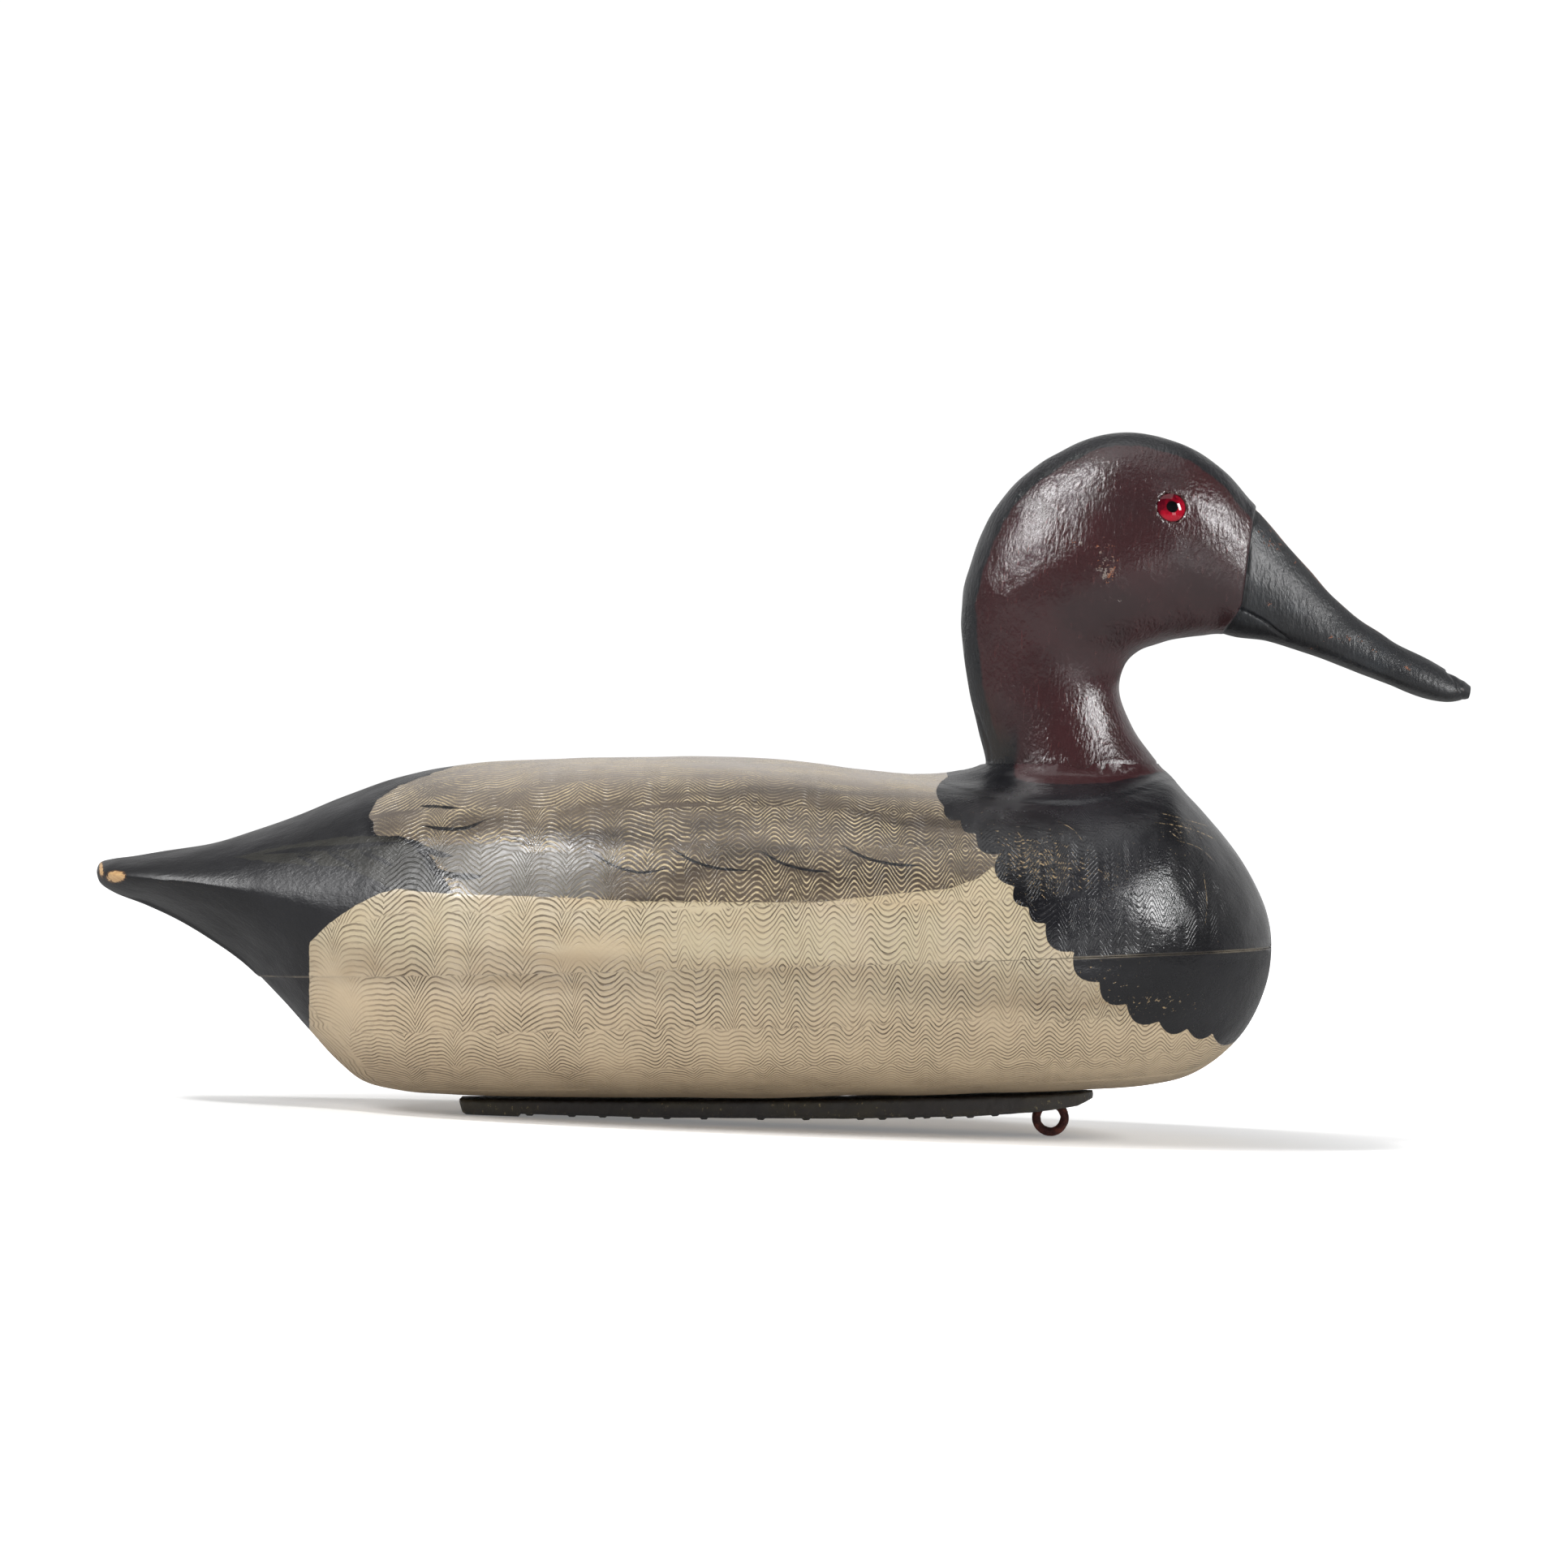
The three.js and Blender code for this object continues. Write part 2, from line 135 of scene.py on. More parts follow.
def ripple(places: Array, wave: float, seed: int, count: int = 14) -> Array:
    """A gentle random relief: the mean of plane waves in random directions.

    Args:
        places: Points, one row each.
        wave: The middle wavelength; each wave is up to a third longer or shorter.
        seed: Fixes the directions and the phases.
        count: How many waves are added up.

    Returns:
        A height for each point, mostly between -1 and 1.
    """
    chance = np.random.default_rng(seed)
    directions = chance.normal(size=(count, places.shape[1]))
    directions /= np.linalg.norm(directions, axis=1, keepdims=True)
    rates = 2.0 * np.pi / (wave * chance.uniform(0.67, 1.33, count))
    phases = chance.uniform(0.0, 2.0 * np.pi, count)
    total = np.zeros(len(places))
    for direction, rate, phase in zip(directions, rates, phases):
        total += np.sin(rate * (places @ direction) + phase)
    return total * math.sqrt(2.0 / count) / 1.6


def ripples(places: Array, layers: Pairs) -> Array:
    """Returns the sum of several ripples, each given as its height, wavelength and seed."""
    return sum(height * ripple(places, wave, seed) for height, wave, seed in layers)


def line_offset(places: Array, line: Array) -> tuple[Array, Array, Array]:
    """Finds the nearest spot of an open line of points.

    Args:
        places: Points in the side view, one row each.
        line: The line's corners, one row each.

    Returns:
        The distance to the line, the signed offset to the left of it, and how far along the
        line the nearest spot is, from 0 to 1.
    """
    nearest = np.full(len(places), np.inf)
    offset = np.zeros(len(places))
    along = np.zeros(len(places))
    lengths = np.linalg.norm(np.diff(line, axis=0), axis=1)
    reached = 0.0
    for start, end, length in zip(line[:-1], line[1:], lengths):
        if length == 0.0:
            continue
        step = (end - start) / length
        away = places - start
        forward = np.clip(away @ step, 0.0, length)
        gap = np.linalg.norm(away - forward[:, None] * step, axis=1)
        closer = gap < nearest
        nearest = np.where(closer, gap, nearest)
        offset = np.where(closer, step[0] * away[:, 1] - step[1] * away[:, 0], offset)
        along = np.where(closer, (reached + forward) / lengths.sum(), along)
        reached += length
    return nearest, offset, along


def inside_distance(places: Array, corners: Array) -> Array:
    """Signed distance to the edge of a closed shape, positive inside it.

    A place is inside if a level line from it crosses the edge an odd number of times.

    Args:
        places: Points in the side view, one row each.
        corners: The shape's corners in order, one row each.

    Returns:
        The signed distance of each point.
    """
    closed = np.vstack([corners, corners[:1]])
    distance, _, _ = line_offset(places, closed)
    inside = np.zeros(len(places), bool)
    for (x0, z0), (x1, z1) in zip(closed[:-1], closed[1:]):
        if z0 == z1:
            continue
        crosses = (z0 > places[:, 1]) != (z1 > places[:, 1])
        inside ^= crosses & (places[:, 0] < (x1 - x0) * (places[:, 1] - z0) / (z1 - z0) + x0)
    return np.where(inside, distance, -distance)


def read_rows(length: Array, wanted: Array, values: tuple[Array, ...]) -> tuple[Array, ...]:
    """Reads several tables of rows at wanted lengths along each row, by straight lines.

    Every row is moved past the end of the one before it, so that one reading does them all.

    Args:
        length: The length at each known column, one row for each section.
        wanted: The lengths to read at, one row for each section.
        values: Tables of the same shape as length.

    Returns:
        One table for each of values, in the shape of wanted.
    """
    stride = float(length.max()) * 1.01 + 1.0
    shift = stride * np.arange(len(length))[:, None]
    known = (length + shift).ravel()
    places = (wanted + shift).ravel()
    return tuple(np.interp(places, known, table.ravel()).reshape(wanted.shape) for table in values)


def grid_normals(points: Array) -> Array:
    """Outward directions on a grid of points whose rows run round and columns run along.

    Args:
        points: Points as rows by columns by three.

    Returns:
        Unit vectors of the same shape: the cross product of the two neighbour differences.
    """
    along = np.gradient(points, axis=0)
    round_it = np.gradient(points, axis=1)
    across = np.cross(along, round_it)
    return across / np.maximum(np.linalg.norm(across, axis=2, keepdims=True), 1e-9)


def padded(fields: dict[str, Array], shape: tuple[int, int],
           rim: tuple[tuple[int, int], tuple[int, int]]) -> dict[str, Array]:
    """Carries the numbers of a grid's points on to rows and columns added at its edges.

    Args:
        fields: Numbers for each point, by attribute name.
        shape: The grid's rows and columns.
        rim: How many rows are added before and after, and how many columns.

    Returns:
        The larger grid's numbers; an added point has those of the nearest old one.
    """
    return {name: np.pad(values.reshape(shape), rim, mode="edge").ravel()
            for name, values in fields.items()}


def rounded(turn: Array, power: Array | float) -> tuple[Array, Array]:
    """A superellipse's section: the cosine and the sine of a turn raised to a power.

    Args:
        turn: Angles from the top.
        power: 2 for a diamond, 1 for an ellipse, and less for a squarer section.

    Returns:
        The rise without its sign and the reach with it.
    """
    reach = np.abs(np.sin(turn)) ** power * np.sign(np.sin(turn))
    return np.abs(np.cos(turn)) ** power, reach


def grid_faces(rows: int, columns: int, closed: bool) -> Array:
    """Faces of four corners between neighbouring points of a grid.

    Args:
        rows: Number of sections.
        columns: Number of points in each section.
        closed: Whether the last column joins the first.

    Returns:
        Corner numbers, one row for each face.
    """
    row = np.arange(rows - 1)[:, None] * columns
    column = np.arange(columns if closed else columns - 1)[None, :]
    right = (column + 1) % columns
    corners = [row + column, row + columns + column, row + columns + right, row + right]
    return np.stack([c.ravel() for c in np.broadcast_arrays(*corners)], axis=1)


@dataclass(frozen=True)
class Placing:
    """Sets the carving frame down on the floor: a turn about y, then a move."""

    tilt: float = math.atan(7.3 / 183.3)
    move_x: float = 4.4768
    move_z: float = -3.3387

    def world(self, points: Array) -> Array:
        """Turns points nose up by the tilt and moves them.

        Args:
            points: Points of the carving frame, in millimetres.

        Returns:
            The points in the shared frame, in metres.
        """
        cos, sin = math.cos(self.tilt), math.sin(self.tilt)
        x = points[..., 0] * cos - points[..., 2] * sin + self.move_x
        z = points[..., 0] * sin + points[..., 2] * cos + self.move_z
        return np.stack([x, points[..., 1], z], axis=-1) * METRES_PER_MM


PLACING = Placing()


def make_piece(name: str, points: Array, faces: Array,
               fields: dict[str, Array]) -> bpy.types.Object:
    """Makes a smooth-shaded mesh object from points in the carving frame.

    Points that coincide are made one, faces that lose a corner become triangles, and faces
    that lose more are left out.

    Args:
        name: The object's name.
        points: Points in the carving frame, one row each.
        faces: Corner numbers, four in a row.
        fields: Numbers for each point, by attribute name.

    Returns:
        The new object, at the origin.
    """
    keys = np.round(points * KEYS_PER_MM).astype(np.int64)
    _, first, same = np.unique(keys, axis=0, return_index=True, return_inverse=True)
    corners = same.reshape(-1)[faces]
    following = np.roll(corners, -1, axis=1)
    repeated = corners == following
    kept_four = corners[repeated.sum(axis=1) == 0]
    short = repeated.sum(axis=1) == 1
    order = (np.argmax(repeated[short], axis=1)[:, None] + np.array([1, 2, 3])) % 4
    kept_three = np.take_along_axis(corners[short], order, axis=1)
    mesh = bpy.data.meshes.new(name)
    world = PLACING.world(points[first])
    mesh.from_pydata(world.tolist(), [], kept_four.tolist() + kept_three.tolist())
    mesh.validate()
    mesh.update()
    mesh.polygons.foreach_set("use_smooth", np.ones(len(mesh.polygons), bool))
    mesh.set_sharp_from_angle(angle=SHARP_EDGE)
    for field_name, values in fields.items():
        attribute = mesh.attributes.new(field_name, "FLOAT", "POINT")
        attribute.data.foreach_set("value", values[first].astype(np.float32))
    piece = bpy.data.objects.new(name, mesh)
    bpy.context.scene.collection.objects.link(piece)
    return piece


def settle(piece: bpy.types.Object, node: str, finish: bpy.types.Material) -> None:
    """Dresses a piece, ties it to the body, hides the CAD node that it replaces, and logs which one
    it is.

    Args:
        piece: The new piece.
        node: The CAD node that it replaces.
        finish: Its material.
    """
    piece.data.materials.append(finish)
    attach(piece, "root")
    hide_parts(node)
    log.info("%s: %d faces in place of %s", piece.name, len(piece.data.polygons), node)


# The side view that the painting is laid out on


@dataclass(frozen=True)
class SideView:
    """A drawing of the decoy from its right, seen from a little over two metres away.

    Places are counted in dots across and down. Both sides of the decoy are painted alike, so
    the left side is drawn mirrored.
    """

    distance: float = 2200.0
    eye_height: float = 110.8
    dot: float = 0.25539
    middle_across: float = 965.75
    floor_down: float = 1399.8

    def dots(self, points: Array) -> Array:
        """Where points of the carving frame are drawn.

        Args:
            points: Points, one row each.

        Returns:
            Dots across and dots down, enlarged by how much nearer a point is than mid width.
        """
        nearness = self.distance / (self.distance - np.abs(points[:, 1]))
        across = points[:, 0] * nearness
        height = self.eye_height + (points[:, 2] - self.eye_height) * nearness
        return np.stack([
            self.middle_across + across / self.dot,
            self.floor_down - height / self.dot,
        ], axis=1)

    def inside(self, dots: Array, corners: Pairs) -> Array:
        """Returns how many millimetres inside a drawn shape each place is."""
        return inside_distance(dots, np.asarray(corners, float)) * self.dot


SIDE_VIEW = SideView()


def scalloped(corners: Pairs, bulge: float) -> list[tuple[float, float]]:
    """Joins corners by shallow arcs, as a brush laid down again and again leaves them.

    Between two corners the edge is a parabola that leaves the straight line to its right.

    Args:
        corners: The points where two arcs meet.
        bulge: The height of an arc as a share of its length.

    Returns:
        The points of the whole edge.
    """
    edge: list[tuple[float, float]] = []
    for (x0, y0), (x1, y1) in zip(corners[:-1], corners[1:]):
        for share in ARC_SHARES:
            rise = 4.0 * bulge * share * (1.0 - share)
            across = x0 + (x1 - x0) * share - (y1 - y0) * rise
            down = y0 + (y1 - y0) * share + (x1 - x0) * rise
            edge.append((across, down))
    edge.append(corners[-1])
    return edge


@dataclass(frozen=True)
class Brushmark:
    """One stroke of a thin brush in the side view, fullest near its middle."""

    line: Pairs
    half_width: float = 0.5


@dataclass(frozen=True)
class Rubbed:
    """A soft-edged place in the side view: its middle, its radii in dots, and how much."""

    across: float
    down: float
    wide: float
    high: float
    amount: float = 1.0

    def at(self, dots: Array) -> Array:
        """How much is rubbed at each place: a bell around the middle.

        Args:
            dots: Places in the side view, one row each.

        Returns:
            The amount at each place.
        """
        x = (dots[:, 0] - self.across) / self.wide
        y = (dots[:, 1] - self.down) / self.high
        return self.amount * np.exp(-(x * x + y * y))


# Body


@dataclass(frozen=True)
class CombPass:
    """One pull of the graining comb along the body, through the wet paint.

    The comb's teeth leave parallel grooves, and the hand moves it up and down on the way.
    """

    height: float
    reach: float
    seed: int
    waves: tuple[float, ...] = (18.0, 14.0, 9.5, 9.3, 7.0)
    swings: tuple[float, ...] = (3.6, 3.2, 2.7, 2.7, 3.4)
    stations: tuple[float, ...] = (-160.0, -85.0, -20.0, 70.0, 110.0)
    pitch: float = 1.9

    def wander(self, x: Array) -> tuple[Array, ...]:
        """How the hand moves up and down on its way.

        The wave's phase is the sum of small steps over a wavelength that shortens from tail
        to breast and varies at random, and a slow drift carries the whole pull.

        Args:
            x: Places along the body.

        Returns:
            At each place the wave's phase, its swing, how much of it is a row of arches
            instead of a sine, as it is towards the tail, and the drift.
        """
        grid = np.linspace(-230.0, 170.0, 1601)
        spread = grid[:, None]
        wave = np.interp(grid, self.stations, self.waves)
        wave = wave * np.exp(0.26 * ripple(spread, 40, self.seed))
        turns = 2.0 * np.pi * np.cumsum(np.diff(grid, prepend=grid[0]) / wave)
        swing = np.interp(grid, self.stations, self.swings)
        swing = swing * (1.0 + 0.3 * ripple(spread, 21.0, self.seed + 1))
        arches = 1.0 - smooth_step(grid + 25.0 * ripple(spread, 60.0, self.seed + 2), -60, -5)
        drift = ripples(spread, ((1.5, 80.0, self.seed + 3), (0.35, 6.0, self.seed + 4)))
        return tuple(np.interp(x, grid, line) for line in (turns, swing, arches, drift))


@dataclass(frozen=True)
class BodyShape:
    """Outlines of the body: along x, in millimetres of the carving frame."""

    back: Pairs = (
        (-216.0, 83.4), (-215.2, 86.0), (-211.5, 87.4), (-200.7, 89.1), (-180.2, 92.4),
        (-159.8, 98.8), (-139.4, 106.7), (-119.0, 113.6), (-98.5, 117.4), (-67.9, 119.2),
        (-37.0, 119.7), (-6.6, 119.0), (24.0, 115.9), (50.0, 113.3), (85.0, 112.4),
        (110.0, 114.2), (120.5, 113.4), (127.3, 107.2), (134.4, 99.5), (143.3, 88.0),
        (149.7, 76.6), (152.5, 67.0), (153.1, 60.0),
    )
    keel: Pairs = (
        (-216.0, 83.4), (-215.2, 79.9), (-211.0, 76.8), (-200.7, 72.7), (-190.5, 67.9),
        (-180.2, 61.7), (-170.0, 54.4), (-159.8, 44.4), (-149.6, 33.1), (-139.4, 22.6),
        (-132.0, 17.0), (-120.0, 14.2), (-98.0, 12.9), (-23.0, 12.3), (32.0, 12.9),
        (93.0, 14.7), (114.0, 16.1), (128.0, 19.3), (139.0, 26.8), (147.9, 38.2),
        (152.0, 49.7), (153.1, 60.0),
    )
    width: Pairs = (
        (-216.0, 0.0), (-215.2, 8.0), (-211.0, 16.0), (-200.0, 23.5), (-185.0, 29.5),
        (-165.0, 37.5), (-145.0, 47.5), (-120.0, 60.0), (-90.0, 71.5), (-55.0, 79.8),
        (-10.0, 84.0), (35.0, 84.3), (75.0, 80.5), (105.0, 72.5), (127.0, 60.0),
        (141.0, 46.0), (149.5, 29.0), (152.4, 14.0), (153.1, 0.0),
    )
    flank: Pairs = (
        (-216.0, 83.4), (-205.0, 82.0), (-180.0, 79.5), (-152.0, 74.0), (-125.0, 65.5),
        (-95.0, 60.0), (-40.0, 57.5), (40.0, 58.0), (110.0, 59.5), (153.1, 60.0),
    )
    upper_squareness: Pairs = (
        (-216.0, 1.60), (-180.0, 1.65), (-150.0, 1.80), (-120.0, 2.00), (-60.0, 2.20),
        (60.0, 2.20), (120.0, 2.05), (153.1, 2.00),
    )
    lower_squareness: Pairs = (
        (-216.0, 1.60), (-195.0, 1.25), (-165.0, 1.30), (-138.0, 1.75), (-100.0, 2.30),
        (60.0, 2.40), (120.0, 2.20), (153.1, 2.00),
    )
    seam_height: float = 55.3
    seam_slope: float = 0.029
    seat_height: float = 117.2
    seat_softness: float = 2.4
    seat_swell: Pairs = (
        (90.5, 27.1, 23.2, 117.2), (88.6, 30.3, 23.4, 115.3), (85.6, 35.0, 24.0, 113.4),
        (83.5, 38.5, 27.2, 111.3), (82.5, 40.5, 34.0, 108.7), (82.0, 41.5, 41.2, 105.9),
        (82.0, 40.0, 44.0, 103.0), (82.0, 36.0, 40.0, 96.0),
    )


BODY = BodyShape()


class BodyBlank:
    """The body's skin as a function of a place along it and a turn around it."""

    def __init__(self, shape: BodyShape) -> None:
        """Reads the outlines.

        Args:
            shape: The body's sizes.
        """
        self.shape = shape
        self.back = Outline(shape.back)
        self.keel = Outline(shape.keel)
        self.width = Outline(shape.width)
        self.flank = Outline(shape.flank)
        self.upper = Outline(shape.upper_squareness)
        self.lower = Outline(shape.lower_squareness)

    def seam(self, x: Array) -> Array:
        """Returns the height of the glued joint at each place along the body."""
        return self.shape.seam_height + self.shape.seam_slope * x

    def stations(self, count: int, start: float, end: float) -> Array:
        """Places along the body, closer where the outlines turn.

        They are evenly spaced along a line that grows with the back's, the keel's and the
        width's own changes.

        Args:
            count: How many stations.
            start: The first one's x.
            end: The last one's x.

        Returns:
            The x of each station.
        """
        x = np.linspace(start, end, 6001)
        change = sum(np.abs(np.gradient(line(x), x)) for line in (self.back, self.keel, self.width))
        growth = np.sqrt(1.0 + 0.5 * np.minimum(change, 60.0) ** 2)
        path = np.concatenate([[0.0], np.cumsum((growth[1:] + growth[:-1]) / 2)])
        return np.interp(np.linspace(0.0, path[-1], count), path, x)

    def section(self, x: Array, turn: Array) -> Array:
        """Points of the skin.

        From the top, turn 0, to the widest place, a quarter turn, a section is a quarter of
        a superellipse, and from there to the keel, half a turn, it is another one.

        Args:
            x: Stations, as a column.
            turn: Angles, a row for each station.

        Returns:
            Points as stations by turns by three.
        """
        above = np.cos(turn) >= 0.0
        power = 2.0 / np.where(above, self.upper(x), self.lower(x))
        rise, reach = rounded(turn, power)
        end = np.where(above, self.back(x), self.keel(x))
        z = self.flank(x) + (end - self.flank(x)) * rise
        y = self.width(x) * reach
        return np.stack([np.broadcast_to(x, z.shape), y, z], axis=-1)

    def seam_turn(self, x: Array, height: Array) -> Array:
        """Where each section meets a given height below its widest place.

        Args:
            x: Stations.
            height: A height for each station.

        Returns:
            The turn, from a quarter to half a turn.
        """
        drop = np.maximum(self.flank(x) - self.keel(x), 1e-6)
        share = np.clip((self.flank(x) - height) / drop, 0.0, 1.0)
        return np.pi - np.arccos(share ** (self.lower(x) / 2.0))

    def seat(self, points: Array) -> Array:
        """Raises points under the neck to the swell of wood that carries it.

        The swell is a pile of ellipses, and a point's height on it is that of the highest
        ellipse around it. Swell and body run into each other by the smooth maximum
        (a + b + sqrt((a - b)^2 + k^2)) / 2.

        Args:
            points: Points of the upper block's skin, one row each.

        Returns:
            The new height of each point.
        """
        rings = curve_points(self.shape.seat_swell, np.linspace(0, 7, 71))
        height = np.full(len(points), 60.0)
        inner = np.full(len(points), 1e9)
        for middle, half_length, half_width, z in rings[::-1]:
            spread = np.hypot((points[:, 0] - middle) / half_length, points[:, 1] / half_width)
            height = np.where(spread <= 1.0, np.maximum(height, z), height)
            inner = np.minimum(inner, spread)
        height = np.where(inner > 1.0, 96.0 - 60.0 * (inner - 1.0), height)
        z = points[:, 2]
        joined = (z + height + np.sqrt((z - height) ** 2 + self.shape.seat_softness ** 2)) / 2.0
        return np.where(height > z - 25.0, np.minimum(joined, self.shape.seat_height), z)


# How the body is painted, in dots of the side view
BREAST_EDGE: Pairs = (
    (1188, 925), (1168, 957), (1163, 993), (1184, 1010), (1203, 1026), (1231, 1052),
    (1250, 1092), (1268, 1118), (1289, 1137), (1324, 1172), (1355, 1210), (1388, 1237),
    (1428, 1258), (1463, 1267), (1494, 1273), (1522, 1283), (1545, 1292),
)
FLANK_TOP: Pairs = (
    (381, 1162), (406, 1137), (437, 1116), (467, 1101), (490, 1095), (521, 1099), (552, 1101),
    (600, 1103), (668, 1105), (783, 1110.5), (1000, 1112), (1100, 1102), (1135, 1098),
    (1170, 1095), (1205, 1082), (1223, 1068), (1231, 1052),
)
RUMP_EDGE: Pairs = (
    (575, 925), (560, 944), (521, 957), (492, 968), (464, 986), (454, 1007), (461, 1015),
    (460, 1025), (467, 1030), (492, 1030), (514, 1037), (530, 1054), (545, 1078), (558, 1103),
)
COLLAR_EDGE: Pairs = (
    (1190, 925), (1225, 932), (1243, 944), (1250, 956), (1262, 962), (1285, 965), (1319, 966),
    (1345, 965), (1372, 963), (1398, 958), (1420, 953), (1500, 940),
)
PATCH: Pairs = (
    (512, 1041), (560, 1040), (637, 1037), (652, 1049), (720, 1046), (840, 1052), (860, 1080),
    (840, 1111), (668, 1105), (590, 1103), (566, 1088), (540, 1062),
)
LEAF: Pairs = (
    (288, 1056), (330, 1046), (392, 1035), (430, 1030), (470, 1030), (496, 1034), (510, 1044),
    (525, 1060), (538, 1082), (552, 1106), (521, 1103), (485, 1099), (470, 1088), (448, 1078),
    (420, 1068), (380, 1066), (330, 1062),
)
FEATHERS: tuple[Brushmark, ...] = (
    Brushmark(((505, 1034), (524, 1046), (540, 1052), (558, 1055)), 1.0),
    Brushmark(((520, 1062), (535, 1072), (560, 1079), (598, 1080)), 1.05),
    Brushmark(((519, 1017), (545, 1021), (575, 1020), (600, 1009)), 0.55),
    Brushmark(((517, 993), (540, 994), (566, 996)), 0.45),
    Brushmark(((718, 1042), (735, 1054), (755, 1066), (787, 1075), (826, 1070)), 0.4),
    Brushmark(((827, 1045), (850, 1059), (880, 1069), (928, 1073)), 0.45),
    Brushmark(((936, 1047), (960, 1062), (990, 1071), (1026, 1075)), 0.45),
    Brushmark(((1035, 1040), (1062, 1055), (1095, 1064), (1140, 1067)), 0.45),
    Brushmark(((326, 1052), (370, 1047), (420, 1044), (462, 1040), (496, 1038)), 0.75),
    Brushmark(((366, 1054), (384, 1062), (400, 1076)), 0.7),
    Brushmark(((404, 1051), (424, 1060), (442, 1072)), 0.7),
    Brushmark(((444, 1050), (466, 1058), (486, 1068)), 0.7),
)
SCRATCHES: tuple[Brushmark, ...] = (
    Brushmark(((1421, 1013), (1455, 1018), (1480, 1026), (1503, 1037)), 0.17),
    Brushmark(((1428, 1001), (1462, 1010), (1496, 1020)), 0.12),
    Brushmark(((1446, 1034), (1478, 1045), (1501, 1066)), 0.1),
    Brushmark(((1300, 1010), (1322, 1022), (1337, 1040)), 0.1),
    Brushmark(((1250, 1020), (1266, 1040), (1285, 1052)), 0.1),
    Brushmark(((1482, 1070), (1487, 1110), (1484, 1150)), 0.1),
)
WORN: tuple[Rubbed, ...] = (
    Rubbed(1262, 1052, 62, 34, 0.95), Rubbed(1452, 1022, 46, 26, 0.9),
    Rubbed(1300, 1095, 60, 40, 0.45), Rubbed(1390, 1070, 90, 26, 0.4),
    Rubbed(1490, 1075, 22, 60, 0.45), Rubbed(1400, 1190, 110, 8, 0.35),
    Rubbed(1190, 985, 34, 40, 0.4), Rubbed(1350, 1215, 80, 40, 0.85),
    Rubbed(1440, 1240, 60, 22, 0.9),
    Rubbed(205, 1087, 70, 7, 0.85), Rubbed(330, 1092, 70, 6, 0.45), Rubbed(1330, 968, 90, 8, 0.6),
)
BARE: tuple[Rubbed, ...] = (
    Rubbed(142.5, 1080, 11.5, 7.5, 1.0), Rubbed(124.5, 1070, 3.0, 11.0, 0.75),
)
SMOOTHED: tuple[Rubbed, ...] = (
    Rubbed(700, 1176, 52, 16, 0.9), Rubbed(745, 1170, 40, 14, 0.9), Rubbed(860, 1160, 46, 22, 0.8),
    Rubbed(960, 1175, 60, 12, 0.5), Rubbed(430, 1240, 40, 40, 0.95), Rubbed(560, 1200, 14, 26, 0.6),
    Rubbed(620, 1015, 60, 10, 0.6), Rubbed(1240, 960, 60, 26, 1.0), Rubbed(410, 1195, 26, 30, 0.7),
)
COMBED_BREAST: tuple[Rubbed, ...] = (
    Rubbed(1280, 1080, 75, 70, 1.2), Rubbed(1400, 1115, 95, 58, 1.2),
    Rubbed(1210, 1000, 60, 34, 0.7),
)


